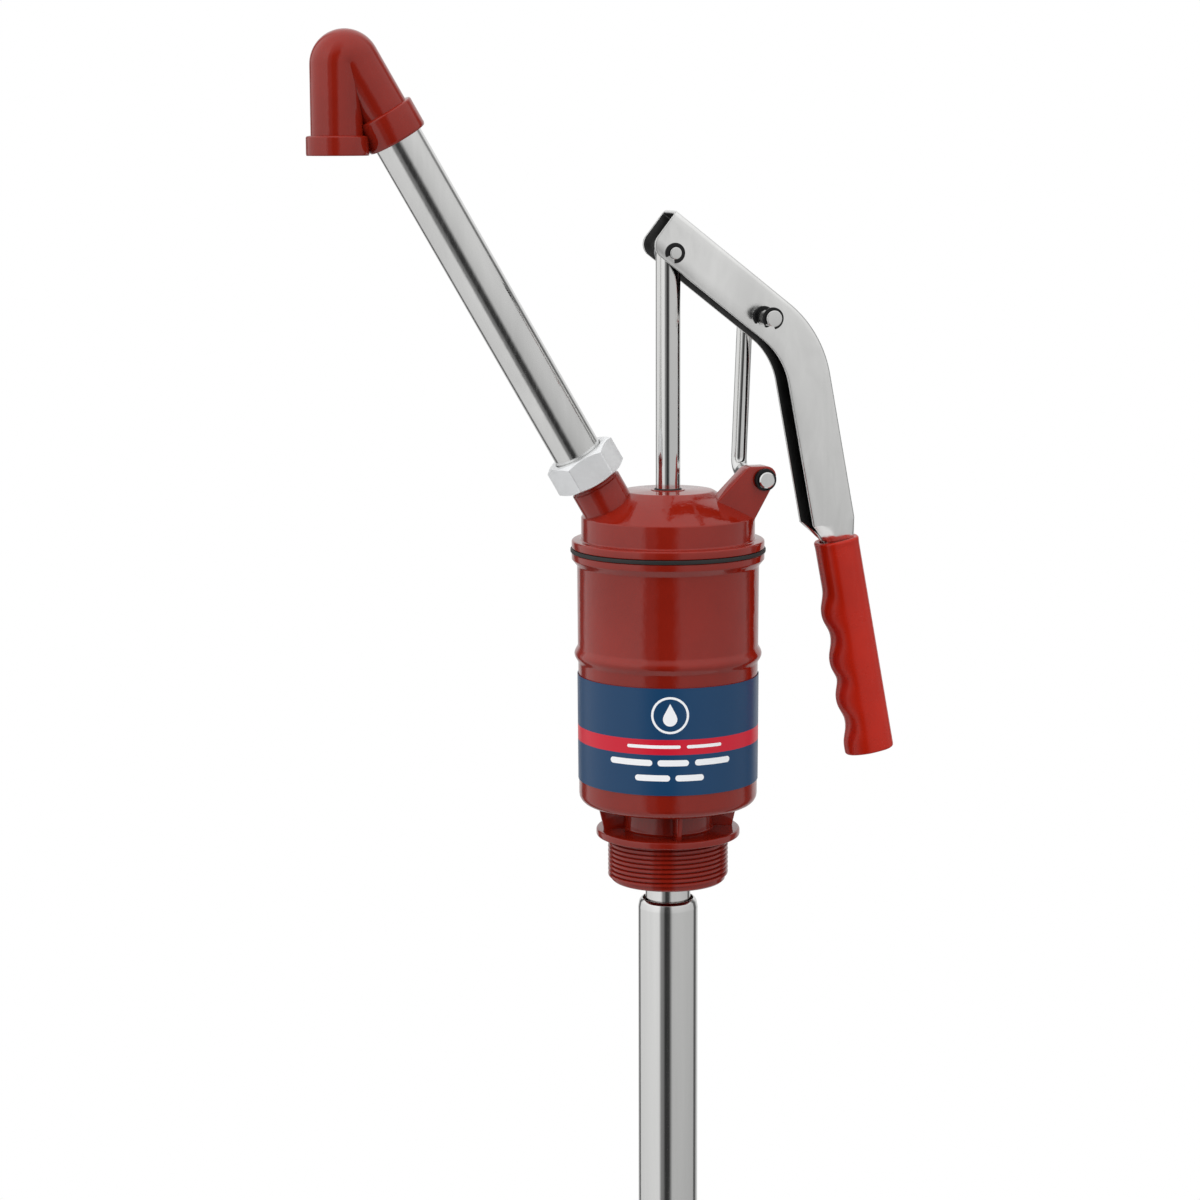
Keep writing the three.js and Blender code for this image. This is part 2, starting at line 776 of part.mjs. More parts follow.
function leverGrip() {
  const bar = armBar({
    near: -grip.webSide,
    far: grip.depth - grip.webSide + grip.bumpHeight + 0.5,
    halfWidth: grip.halfWidth,
    round: grip.round,
    from: grip.top,
    to: grip.bottom,
  });
  const sleeve = bar.intersect(sideView(gripOutline(), -grip.halfWidth - 1, grip.halfWidth + 1));
  return cut(sleeve, tang(GAP));
}

place('lever_grip', leverGrip(), vinyl);

// ---------------------------------------------------------------- pins, clips and link

// A snap ring: a flat ring with a gap on its lower left.
function snapRing(pivot, inner, outer, nearY, farY, openTowards) {
  const mouth = boxOf([0, nearY - 1, -1.9], [outer + 2, farY + 1, 1.9])
    .rotate([0, -openTowards, 0])
    .translate([pivot.x, 0, pivot.y]);
  return cut(crossRing(pivot, inner, outer, nearY, farY), mouth);
}

function rodPin() {
  const end = lever.halfWidth + 2.4;
  const shank = crossRod(rodPivot, pin.radius, -end, end);
  const grooves = [-1, 1].map((side) => {
    const [a, b] = [side * (lever.halfWidth + 0.2), side * (lever.halfWidth + 1.4)].sort((x, y) => x - y);
    return crossRing(rodPivot, pin.groove, pin.radius + 1, a, b);
  });
  return cut(shank, ...grooves);
}

place('rod_pin', rodPin(), chrome);
const clipNear = lever.halfWidth + 0.3;
const clipFar = lever.halfWidth + 1.3;
const rodClipInner = pin.groove + 0.1;
place('rod_pin_clip_front', snapRing(rodPivot, rodClipInner, 4.9, -clipFar, -clipNear, 235), blackOxide);
place('rod_pin_clip_back', snapRing(rodPivot, rodClipInner, 4.9, clipNear, clipFar, 235), blackOxide);
const spacerEnd = lever.halfWidth - lever.wall - 0.15;
place('rod_spacer_front', crossRing(rodPivot, pin.radius + 0.1, 5, -spacerEnd, -rod.radius - 0.2), steel);
place('rod_spacer_back', crossRing(rodPivot, pin.radius + 0.1, 5, rod.radius + 0.2, spacerEnd), steel);

// The link is one rod bent to a C. Its upper leg is made as a piece of its own from just
// behind the lever, because it turns in the lever there.
const upperLegEnd = lever.halfWidth + 0.3;
const grooveRadius = link.radius - 0.6;

function grooved(pivot, nearY, farY, grooves) {
  const leg = crossRod(pivot, link.radius, nearY, farY);
  return cut(leg, ...grooves.map(([a, b]) => crossRing(pivot, grooveRadius, link.radius + 1, a, b)));
}

const wallGroove = [-lever.halfWidth - 1.5, -lever.halfWidth - 0.2];
const endGroove = [link.tipY + 1.8, link.tipY + 3.1];

place('link_upper_leg', grooved(linkPivot, link.tipY, upperLegEnd, [wallGroove, endGroove]), chrome);

function linkClip(pivot, [a, b]) {
  return snapRing(pivot, grooveRadius + 0.1, 5.3, a + 0.1, b - 0.1, 250);
}

place('link_clip_wall', linkClip(linkPivot, wallGroove), blackOxide);
place('link_clip_end', linkClip(linkPivot, endGroove), blackOxide);

// The bent part of the link, from behind the lever, down its straight run and forward to the lug.
function linkRod() {
  const corner = (pivot, y) => new THREE.Vector3(pivot.x, y, pivot.y);
  const high = corner(linkPivot, link.runY);
  const low = corner(lugPivot, link.runY);
  const run = low.clone().sub(high).normalize().multiplyScalar(link.bend);
  const forward = new THREE.Vector3(0, -link.bend, 0);
  const stubEnd = corner(linkPivot, upperLegEnd + 0.4);
  const path = new THREE.CurvePath();
  const frontOfHigh = high.clone().setY(Math.max(high.y - link.bend, stubEnd.y));
  path.add(new THREE.QuadraticBezierCurve3(frontOfHigh, high, high.clone().add(run)));
  path.add(new THREE.LineCurve3(high.clone().add(run), low.clone().sub(run)));
  path.add(new THREE.QuadraticBezierCurve3(low.clone().sub(run), low, low.clone().add(forward)));
  path.add(new THREE.LineCurve3(low.clone().add(forward), corner(lugPivot, link.tipY)));
  const section = new THREE.Shape();
  section.absarc(0, 0, link.radius, 0, 2 * Math.PI, false);
  const bent = new THREE.ExtrudeGeometry(section, { steps: 24, extrudePath: path, curveSegments: 12 });
  const groove = crossRing(lugPivot, grooveRadius, link.radius + 2, ...endGroove);
  return cut(solid(bent), groove);
}

place('link_rod', linkRod(), chrome);
place('lug_clip', linkClip(lugPivot, endGroove), blackOxide);
place('lug_washer', crossRing(lugPivot, link.radius + 0.15, 5.4, endGroove[1] + 0.1, lug.nearY - 0.2),
  blackOxide);

// ---------------------------------------------------------------- suction tube

place('suction_tube_inner', ring(suction.innerBore, suction.innerRadius, suction.innerBottom,
  suction.innerTop), chrome);

place('inner_tube_seal', turned([
  [suction.innerRadius + 0.15, suction.innerBottom + 4],
  [suction.outerBore - 0.2, suction.innerBottom + 4],
  [suction.outerBore - 0.2, suction.innerBottom + 16],
  [suction.innerRadius + 0.15, suction.innerBottom + 16],
], SMALL), nylon);

place('suction_tube_outer', turned([
  [suction.outerBore, suction.outerBottom],
  [suction.outerRadius, suction.outerBottom],
  [suction.outerRadius, suction.outerTop - suction.neckLength],
  [suction.outerRadius - 0.7, suction.outerTop - 1.4],
  [suction.outerRadius - 1.6, suction.outerTop],
  [suction.neckRadius, suction.outerTop],
  [suction.neckRadius, suction.outerTop - 1.5],
  [suction.outerBore, suction.outerTop - suction.neckLength],
], SMALL), chrome);

place('outer_tube_bush', ring(suction.innerRadius + 0.25, suction.outerBore - 0.15,
  suction.outerTop - 18, suction.outerTop - suction.neckLength - 0.5), nylon);

function inletFoot() {
  const plug = turned([
    [10, suction.outerBottom - 8],
    [12.4, suction.outerBottom - 8],
    [suction.outerRadius, suction.outerBottom - 5],
    [suction.outerRadius, suction.outerBottom - 0.3],
    [suction.outerBore - 0.2, suction.outerBottom - 0.3],
    [suction.outerBore - 0.2, suction.outerBottom + 12],
    [10, suction.outerBottom + 12],
  ], SMALL);
  const notches = [0, 90].map((turn) =>
    boxOf([-20, -3, suction.outerBottom - 9], [20, 3, suction.outerBottom - 4]).rotate([0, 0, turn]));
  return cut(plug, ...notches);
}

place('inlet_foot', inletFoot(), nylon);

export default pump;
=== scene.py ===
"""A lever-action drum pump, modelled piece by piece round its measured frame."""

import math

import bmesh
import bpy
from bpy.props import FloatProperty, FloatVectorProperty, IntProperty, PointerProperty
from bpy.types import Operator, Panel, PropertyGroup
from mathutils import Matrix, Vector


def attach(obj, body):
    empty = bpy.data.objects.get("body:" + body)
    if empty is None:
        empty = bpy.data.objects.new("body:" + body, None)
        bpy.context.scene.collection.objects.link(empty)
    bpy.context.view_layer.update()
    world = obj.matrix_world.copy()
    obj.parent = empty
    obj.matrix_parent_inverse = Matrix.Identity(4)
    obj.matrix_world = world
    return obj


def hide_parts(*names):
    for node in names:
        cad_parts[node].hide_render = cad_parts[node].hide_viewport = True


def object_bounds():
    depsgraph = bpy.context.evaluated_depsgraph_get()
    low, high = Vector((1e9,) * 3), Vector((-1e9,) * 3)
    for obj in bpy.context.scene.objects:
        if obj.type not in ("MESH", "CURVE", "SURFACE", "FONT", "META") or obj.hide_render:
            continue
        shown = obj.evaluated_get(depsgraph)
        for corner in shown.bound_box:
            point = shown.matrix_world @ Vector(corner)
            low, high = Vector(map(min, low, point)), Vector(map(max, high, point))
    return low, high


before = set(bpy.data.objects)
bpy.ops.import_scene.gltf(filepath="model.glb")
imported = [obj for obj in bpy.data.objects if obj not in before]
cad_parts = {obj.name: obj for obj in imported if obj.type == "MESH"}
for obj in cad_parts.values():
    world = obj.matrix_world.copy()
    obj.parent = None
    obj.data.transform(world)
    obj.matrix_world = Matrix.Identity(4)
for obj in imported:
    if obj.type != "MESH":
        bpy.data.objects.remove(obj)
CAD_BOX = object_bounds()

bl_info = {
    "name": "Drum Pump Maker",
    "version": (1, 0, 0),
    "blender": (4, 5, 0),
    "location": "View3D > Sidebar > Drum Pump",
    "description": "Models a lever-action drum pump as separate pieces round its frame",
    "category": "Object",
}

MM = 0.001
UP = Vector((0, 0, 1))
ACROSS = Vector((0, 1, 0))

# The three pivots of the linkage and the line of the spout, in metres.
ROD_PIVOT = Vector((0, 0, 286.5)) * MM
LINK_PIVOT = Vector((45.1, 0, 255.2)) * MM
LUG_PIVOT = Vector((41.9, 0, 177.5)) * MM
SPOUT_FOOT = Vector((-34.4, 0, 171.5)) * MM
SPOUT_LEAN = math.radians(30)
SPOUT_AXIS = Vector((-math.sin(SPOUT_LEAN), 0, math.cos(SPOUT_LEAN)))

# The lever's outside corner, where its two straight arms would meet, and their slopes.
BEND_CORNER = Vector((76.6, 0, 248)) * MM
UPPER_SLOPE = math.radians(-38)
LOWER_SLOPE = math.radians(-79.3)


# ---------------------------------------------------------------- sizes and colours

def length(name, description, default):
    """A size in metres, with its default given in millimetres."""
    return FloatProperty(name=name, description=description, default=default * MM, min=0.0,
                         precision=5, unit='LENGTH', subtype='DISTANCE')


def colour(name, description, default):
    return FloatVectorProperty(name=name, description=description, default=default, size=3,
                               min=0.0, max=1.0, subtype='COLOR')


class DRUMPUMP_PG_colours(PropertyGroup):
    """Colours of the finishes"""
    enamel: colour("Enamel", "Gloss enamel on the castings", (0.215, 0.0105, 0.0042))
    vinyl: colour("Grip", "Dipped vinyl of the grip", (0.45, 0.0125, 0.0022))
    field: colour("Label field", "Main colour of the label", (0.0065, 0.045, 0.118))
    stripe: colour("Label stripe", "Stripe across the label", (0.56, 0.010, 0.030))
    marks: colour("Label marks", "Printed marks on the label", (0.85, 0.86, 0.88))
    plate: colour("Chrome", "Tint of the chrome plate", (0.80, 0.80, 0.79))
    floor: colour("Floor", "Studio floor and backdrop", (0.60, 0.60, 0.60))


class DRUMPUMP_PG_barrel(PropertyGroup):
    """Sizes of the barrel and its bung neck"""
    radius_low: length("Lower radius", "Barrel radius at its foot", 43.9)
    radius_high: length("Upper radius", "Barrel radius below its flange", 44.5)
    bottom: length("Bottom", "Height of the barrel's underside", 16.5)
    top: length("Top", "Height of the barrel's joint face", 141.3)
    flange: length("Flange radius", "Radius of the top flange", 47.1)
    bore: length("Bore", "Radius of the pump chamber", 38.0)
    corner: length("Corner", "Rounding of the bottom edge", 5.0)
    bead_height: length("Bead height", "Height of the raised band", 91.2)
    bead_proud: length("Bead", "How far the band stands proud", 1.75)
    collar: length("Collar radius", "Radius of the collar on the bung", 35.5)
    collar_top: length("Collar height", "Thickness of the collar", 3.7)
    hub: length("Hub radius", "Radius between collar and barrel", 21.8)
    thread_crest: length("Thread radius", "Outer radius of the bung thread", 29.807)
    thread_root: length("Thread root", "Root radius of the bung thread", 28.328)
    thread_pitch: length("Thread pitch", "Pitch of the bung thread", 2.309)
    thread_length: length("Thread length", "Length of the bung thread", 22.8)
    ribs: IntProperty(name="Ribs", description="Ribs under the barrel", default=4, min=1)


class DRUMPUMP_PG_head(PropertyGroup):
    """Sizes of the cylinder head"""
    bottom: length("Bottom", "Height of the head's joint face", 143.4)
    flange_top: length("Flange top", "Height of the flange's top", 147.5)
    radius: length("Radius", "Radius above the flange", 42.4)
    shoulder: length("Shoulder", "Height where the cone starts", 158.8)
    crown: length("Crown radius", "Radius of the flat crown", 22.2)
    top: length("Top", "Height of the crown", 171.5)
    boss: length("Boss radius", "Radius of the spout's boss", 12.6)


class DRUMPUMP_PG_spout(PropertyGroup):
    """Sizes of the spout, along its own leaning axis"""
    tube: length("Tube radius", "Radius of the discharge tube", 11.75)
    tube_bore: length("Tube bore", "Bore of the discharge tube", 10.3)
    tube_start: length("Tube start", "Where the tube starts", 14.4)
    tube_end: length("Tube end", "Where the tube ends in the elbow", 207.5)
    nut_start: length("Nut start", "Lower face of the union nut", 7.4)
    nut_end: length("Nut end", "Upper face of the union nut", 22.4)
    nut_across: length("Nut size", "Union nut across its flats", 31.0)
    leg: length("Elbow radius", "Radius of the elbow's legs", 12.4)
    collar: length("Collar radius", "Radius of the elbow's collars", 14.7)
    socket_start: length("Socket start", "Mouth of the elbow's socket", 195.4)
    socket_end: length("Socket end", "Shoulder of the elbow's socket", 209.5)
    bend: length("Bend", "Where the elbow's bend starts", 237.0)
    bend_radius: length("Bend radius", "Centre-line radius of the bend", 4.1)
    outlet: length("Outlet", "Height of the outlet's mouth", 333.1)
    outlet_collar: length("Outlet collar", "Height of the outlet's collar", 9.0)


class DRUMPUMP_PG_lever(PropertyGroup):
    """Sizes of the folded lever and its grip"""
    half_width: length("Half width", "Half the width over the walls", 10.5)
    wall: length("Wall", "Thickness of the sheet", 2.0)
    depth: length("Depth", "Depth of the channel", 22.4)
    web_above: length("Web", "Web above the rod's pivot", 16.7)
    beyond: length("Overhang", "Length beyond the rod's pivot", 11.2)
    bend: length("Bend radius", "Radius of the bend's outside", 58.0)
    channel_end: length("Channel end", "Where the channel narrows, down the lower arm", 94.0)
    grip_top: length("Grip top", "Top of the grip, down the lower arm", 104.8)
    grip_bottom: length("Grip bottom", "End of the grip, down the lower arm", 214.7)
    grip_depth: length("Grip depth", "Depth of the grip", 21.7)
    grip_half_width: length("Grip half width", "Half the width of the grip", 9.9)
    grip_proud: length("Grip wall", "How far the grip stands off the lever", 2.4)
    bump: length("Finger bump", "Height of the bumps between fingers", 3.1)


class DRUMPUMP_PG_links(PropertyGroup):
    """Sizes of the rods, pins and tubes"""
    rod: length("Rod radius", "Radius of the piston rod", 6.0)
    link: length("Link radius", "Radius of the bent link", 3.9)
    link_back: length("Link back", "How far back the link's straight run is", 16.5)
    link_tip: length("Link tip", "How far forward the link's ends reach", 26.5)
    pin: length("Pin radius", "Radius of the rod's pin", 2.9)
    inner: length("Inner tube", "Radius of the inner suction tube", 11.2)
    outer: length("Outer tube", "Radius of the outer suction tube", 14.8)
    outer_top: length("Outer tube top", "How far below the bung seat the outer tube starts", 32.4)
    outer_bottom: length("Outer tube end", "How far below the bung seat the outer tube ends", 502.0)


class DRUMPUMP_PG_studio(PropertyGroup):
    """Camera and light"""
    azimuth: FloatProperty(name="Azimuth", description="Camera azimuth", subtype='ANGLE',
                           default=math.radians(-16.4))
    elevation: FloatProperty(name="Elevation", description="Camera height angle", subtype='ANGLE',
                             default=math.radians(9.0))
    roll: FloatProperty(name="Roll", description="Camera roll", subtype='ANGLE',
                        default=math.radians(-0.2))
    distance: length("Distance", "Camera distance from its target", 1430.0)
    lens: FloatProperty(name="Lens", description="Focal length in millimetres", default=87.57)


class DRUMPUMP_PG_settings(PropertyGroup):
    """All the sizes and colours of the pump"""
    colours: PointerProperty(type=DRUMPUMP_PG_colours)
    barrel: PointerProperty(type=DRUMPUMP_PG_barrel)
    head: PointerProperty(type=DRUMPUMP_PG_head)
    spout: PointerProperty(type=DRUMPUMP_PG_spout)
    lever: PointerProperty(type=DRUMPUMP_PG_lever)
    links: PointerProperty(type=DRUMPUMP_PG_links)
    studio: PointerProperty(type=DRUMPUMP_PG_studio)


# ---------------------------------------------------------------- modelling helpers

def only(piece):
    """Selects one piece and makes it active."""
    bpy.ops.object.select_all(action='DESELECT')
    piece.select_set(True)
    bpy.context.view_layer.objects.active = piece


def begin(name, adder, **settings):
    """Adds a primitive, names it and opens it for editing with all of it selected."""
    bpy.ops.object.select_all(action='DESELECT')
    adder(**settings)
    piece = bpy.context.active_object
    piece.name = name
    piece.data.name = name
    bpy.ops.object.transform_apply(location=True, rotation=True, scale=True)
    bpy.ops.object.mode_set(mode='EDIT')
    bpy.ops.mesh.select_mode(type='VERT')
    bpy.ops.mesh.select_all(action='SELECT')
    return piece


def choose(wanted, kind='VERT'):
    """In edit mode, selects the vertices, edges or faces that a test accepts."""
    bpy.ops.mesh.select_mode(type=kind)
    bpy.ops.mesh.select_all(action='DESELECT')
    mesh = bmesh.from_edit_mesh(bpy.context.edit_object.data)
    items = {'VERT': mesh.verts, 'EDGE': mesh.edges, 'FACE': mesh.faces}[kind]
    for item in items:
        if wanted(item):
            item.select_set(True)
    mesh.select_flush_mode()
    bmesh.update_edit_mesh(bpy.context.edit_object.data)


def extrude(move):
    bpy.ops.mesh.extrude_region_move(TRANSFORM_OT_translate={"value": move})


def weld(distance=2e-6):
    """In edit mode, selects the whole mesh and merges points that lie together."""
    bpy.ops.mesh.select_mode(type='VERT')
    bpy.ops.mesh.select_all(action='SELECT')
    bpy.ops.mesh.remove_doubles(threshold=distance)


def leave_edit():
    """Leaves edit mode with the points, edges and faces in the same order on every run."""
    mesh = bmesh.from_edit_mesh(bpy.context.edit_object.data)
    for items, middle in ((mesh.verts, lambda vert: vert.co),
                          (mesh.edges, lambda edge: edge.verts[0].co + edge.verts[1].co),
                          (mesh.faces, lambda face: face.calc_center_median())):
        places = {item: tuple(round(part / MM, 4) for part in middle(item)) for item in items}
        ranks = {item: rank for rank, item in enumerate(sorted(items, key=places.get))}
        items.sort(key=ranks.get)
    bmesh.update_edit_mesh(bpy.context.edit_object.data)
    bpy.ops.object.mode_set(mode='OBJECT')


def end_edit(outward=True):
    """Merges doubles, turns the faces outward and leaves edit mode."""
    weld()
    if outward:
        bpy.ops.mesh.normals_make_consistent(inside=False)
    leave_edit()
    return bpy.context.active_object


def apply_modifier(piece, kind, **settings):
    only(piece)
    bpy.ops.object.modifier_add(type=kind)
    modifier = piece.modifiers[-1]
    for key, value in settings.items():
        setattr(modifier, key, value)
    bpy.ops.object.modifier_apply(modifier=modifier.name)
    return piece


def combine(piece, tool, operation):
    """Joins a tool to a piece, cuts it away or keeps what they share, and removes the tool."""
    apply_modifier(piece, 'BOOLEAN', object=tool, operation=operation, solver='EXACT')
    bpy.data.objects.remove(tool)
    bpy.ops.object.mode_set(mode='EDIT')
    weld(1.5e-5)
    bpy.ops.mesh.dissolve_degenerate(threshold=1e-5)
    bpy.ops.mesh.select_all(action='SELECT')
    bpy.ops.mesh.fill_holes(sides=12)
    bpy.ops.mesh.select_all(action='SELECT')
    bpy.ops.mesh.normals_make_consistent(inside=False)
    leave_edit()
    return piece


def merge(piece, *others):
    """Makes several pieces one object."""
    only(piece)
    for other in others:
        other.select_set(True)
    bpy.ops.object.join()
    return piece


def soften(piece, width, angle=35, segments=2):
    """Rounds the sharp edges of a piece."""
    return apply_modifier(piece, 'BEVEL', width=width * MM, segments=segments, limit_method='ANGLE',
                          angle_limit=math.radians(angle), harden_normals=False)


def eased(corners, closed):
    """Points of an outline in which each corner may carry a rounding: (x, y, rounding)."""
    flat = [Vector(corner[:2]) for corner in corners]
    points = []
    for i, corner in enumerate(corners):
        rounding = corner[2] if len(corner) > 2 else 0
        at_end = not closed and i in (0, len(corners) - 1)
        if rounding == 0 or at_end:
            points.append(flat[i])
            continue
        before = (flat[i - 1] - flat[i])
        after = (flat[(i + 1) % len(flat)] - flat[i])
        room = 0.48 * min(before.length, after.length)
        before.normalize()
        after.normalize()
        half = before.angle(after) / 2
        reach = min(rounding / math.tan(half), room)
        radius = reach * math.tan(half)
        centre = flat[i] + (before + after).normalized() * (radius / math.sin(half))
        start = flat[i] + before * reach - centre
        end = flat[i] + after * reach - centre
        turn = math.atan2(start.x * end.y - start.y * end.x, start.dot(end))
        steps = max(2, math.ceil(abs(turn) / math.radians(20)))
        for k in range(steps + 1):
            angle = turn * k / steps
            points.append(centre + Vector((
                start.x * math.cos(angle) - start.y * math.sin(angle),
                start.x * math.sin(angle) + start.y * math.cos(angle))))
    return points


def draw_line(name, points):
    """Draws a line of edges: a small plane merged to one point, extruded from place to place."""
    piece = begin(name, bpy.ops.mesh.primitive_plane_add, size=MM)
    bpy.ops.mesh.merge(type='CENTER')
    bpy.ops.transform.translate(value=points[0])
    for here, there in zip(points, points[1:]):
        extrude(there - here)
    bpy.ops.mesh.select_all(action='SELECT')
    return piece


def revolve(steps, angle, centre, axis):
    """Sweeps the selection anticlockwise about an axis."""
    bpy.ops.mesh.spin(steps=steps, angle=-angle, center=centre, axis=axis)


def turned(name, corners, foot=Vector(), axis=UP, facets=96, closed=True, sweep=360, start=0):
    """Spins an outline of [radius, height, rounding] corners, in millimetres, about an axis.
    An outline that isn't closed starts and ends on the axis."""
    axis = axis.normalized()
    side = Vector((1, 0, 0)) if abs(axis.x) < 0.9 else Vector((0, 0, 1))
    side = (side - axis * side.dot(axis)).normalized()
    side = Matrix.Rotation(math.radians(start), 3, axis) @ side
    points = [foot + (side * p.x + axis * p.y) * MM for p in eased(corners, closed)]
    if closed:
        points.append(points[0])
    draw_line(name, points)
    revolve(facets, math.radians(sweep), foot, axis)
    if sweep < 360:
        cap_ends()
    return end_edit()


def cap_ends():
    """Closes the open ends of a swept section."""
    weld()
    bpy.ops.mesh.select_mode(type='EDGE')
    bpy.ops.mesh.select_all(action='DESELECT')
    bpy.ops.mesh.select_non_manifold(extend=False, use_wire=True, use_boundary=True,
                                     use_multi_face=False, use_non_contiguous=False,
                                     use_verts=False)
    bpy.ops.mesh.edge_face_add()


def plate(name, corners, near, far):
    """A flat outline in the side view, given its thickness between two places across."""
    points = [Vector((p.x, near, p.y)) * MM for p in eased(corners, True)]
    draw_line(name, points + [points[0]])
    weld()
    bpy.ops.mesh.edge_face_add()
    extrude((0, (far - near) * MM, 0))
    return end_edit()


def copied(piece, name, turn=0.0, move=Vector()):
    """A copy of a piece with a mesh of its own, turned about the upright axis and moved."""
    only(piece)
    bpy.ops.object.duplicate(linked=False)
    copy = bpy.context.active_object
    copy.name = name
    copy.matrix_world = Matrix.Translation(move) @ Matrix.Rotation(turn, 4, 'Z')
    bpy.ops.object.transform_apply(location=True, rotation=True, scale=True)
    return copy


def finished(piece, finish, body, *nodes, angle=32):
    """Shades a piece, gives it its finish and ties it to its body and the nodes it stands for."""
    only(piece)
    bpy.ops.object.shade_smooth_by_angle(angle=math.radians(angle))
    piece.name = piece.data.name = f"{nodes[0]}_skin"
    if finish:
        piece.data.materials.clear()
        piece.data.materials.append(FINISHES[finish](bpy.context.scene.drum_pump.colours))
    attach(piece, body)
    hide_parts(*nodes)
    return piece


# ---------------------------------------------------------------- shared surface effects

def effect(name, inputs, outputs):
    """Starts a node group with named inputs and outputs, or gives the one made before."""
    if name in bpy.data.node_groups:
        return bpy.data.node_groups[name], None, None
    group = bpy.data.node_groups.new(name, 'ShaderNodeTree')
    for label, default in inputs.items():
        kind = 'NodeSocketVector' if isinstance(default, tuple) else 'NodeSocketFloat'
        socket = group.interface.new_socket(label, in_out='INPUT', socket_type=kind)
        socket.default_value = default
    for label in outputs:
        group.interface.new_socket(label, in_out='OUTPUT', socket_type='NodeSocketFloat')
    return group, group.nodes.new('NodeGroupInput'), group.nodes.new('NodeGroupOutput')


def node(tree, kind, settings=None, **inputs):
    """Adds a node, sets its properties and its inputs, and links any input given as a socket.
    An input is given by its name, or by its number as i0, i1 and so on."""
    made = tree.nodes.new(kind)
    for key, value in (settings or {}).items():
        setattr(made, key, value)
    for key, value in inputs.items():
        key = key.replace('_', ' ')
        numbered = key[0] == 'i' and key[1:].isdigit()
        socket = made.inputs[int(key[1:]) if numbered else key]
        if isinstance(value, bpy.types.NodeSocket):
            tree.links.new(value, socket)
        else:
            socket.default_value = value
    return made


def reckon(tree, operation, first, second=0.0, third=0.0):
    """What a Math node makes of up to three values."""
    return node(tree, 'ShaderNodeMath', {'operation': operation}, i0=first, i1=second,
                i2=third).outputs[0]


def rippled_skin():
    """Slow waves and fine pits of a thick coat over a casting."""
    group, given, out = effect("Rippled skin", {"Place": (0.0, 0.0, 0.0), "Ripple size": 260.0,
                                                "Pit size": 1400.0}, ("Height", "Blotch"))
    if given:
        wave = node(group, 'ShaderNodeTexNoise', Vector=given.outputs["Place"],
                    Scale=given.outputs["Ripple size"], Detail=2.0, Roughness=0.4)
        pits = node(group, 'ShaderNodeTexNoise', Vector=given.outputs["Place"],
                    Scale=given.outputs["Pit size"], Detail=1.0)
        fine = reckon(group, 'MULTIPLY', pits.outputs[0], 0.18)
        group.links.new(reckon(group, 'ADD', wave.outputs[0], fine), out.inputs["Height"])
        patch = node(group, 'ShaderNodeTexNoise', Vector=given.outputs["Place"], Scale=38.0,
                     Detail=4.0, Roughness=0.6)
        group.links.new(patch.outputs[0], out.inputs["Blotch"])
    return group


def drawn_streaks():
    """Fine lines left along a drawn or polished metal, with a few soft smudges."""
    group, given, out = effect("Drawn streaks", {"Place": (0.0, 0.0, 0.0), "Fineness": 900.0},
                               ("Streak", "Smudge"))
    if given:
        line = node(group, 'ShaderNodeTexNoise', Vector=given.outputs["Place"],
                    Scale=given.outputs["Fineness"], Detail=3.0, Roughness=0.6)
        smudge = node(group, 'ShaderNodeTexNoise', Vector=given.outputs["Place"], Scale=60.0,
                      Detail=4.0, Roughness=0.65, Distortion=0.6)
        group.links.new(line.outputs[0], out.inputs["Streak"])
        group.links.new(smudge.outputs[0], out.inputs["Smudge"])
    return group


def printed_bar():
    """A round-ended bar of ink: 1 inside it and 0 outside."""
    group, given, out = effect("Printed bar", {"Along": 0.0, "Height": 0.0, "Middle along": 0.0,
                                               "Middle height": 0.0, "Half length": 0.01,
                                               "Half height": 0.001}, ("Ink",))
    if given:
        take = given.outputs
        reach = reckon(group, 'SUBTRACT', take["Half length"], take["Half height"])
        along = reckon(group, 'ABSOLUTE', reckon(group, 'SUBTRACT', take["Along"],
                                                 take["Middle along"]))
        past = reckon(group, 'MAXIMUM', reckon(group, 'SUBTRACT', along, reach), 0.0)
        high = reckon(group, 'SUBTRACT', take["Height"], take["Middle height"])
        square = reckon(group, 'ADD', reckon(group, 'MULTIPLY', past, past),
                        reckon(group, 'MULTIPLY', high, high))
        ink = reckon(group, 'LESS_THAN', reckon(group, 'SQRT', square), take["Half height"])
        group.links.new(ink, out.inputs["Ink"])
    return group


def group_node(tree, group, **inputs):
    return node(tree, 'ShaderNodeGroup', {'node_tree': group}, **inputs)


def start_finish(name):
    """A new material with its shader and the object's own coordinates, or the one made before."""
    name = f"{name}_finish"
    if name in bpy.data.materials:
        return bpy.data.materials[name], None, None, None
    material = bpy.data.materials.new(name)
    material.use_nodes = True
    tree = material.node_tree
    place = tree.nodes.new('ShaderNodeTexCoord').outputs['Object']
    return material, tree, tree.nodes['Principled BSDF'], place


def set_shader(shader, **values):
    for key, value in values.items():
        shader.inputs[key.replace('_', ' ')].default_value = value


def blend_colours(tree, factor, first, second):
    """A colour between two others."""
    mix = node(tree, 'ShaderNodeMix', {'data_type': 'RGBA'})
    for socket, value in ((mix.inputs[0], factor), (mix.inputs[6], first), (mix.inputs[7], second)):
        if isinstance(value, bpy.types.NodeSocket):
            tree.links.new(value, socket)
        else:
            socket.default_value = value
    return mix.outputs[2]


def shade_of(rgb, factor):
    return tuple(min(1.0, part * factor) for part in rgb) + (1.0,)


def spread(tree, value, low, high, start=0.3, stop=0.7):
    """Maps a value from one range to another."""
    return node(tree, 'ShaderNodeMapRange', Value=value, From_Min=start, From_Max=stop,
                To_Min=low, To_Max=high).outputs[0]


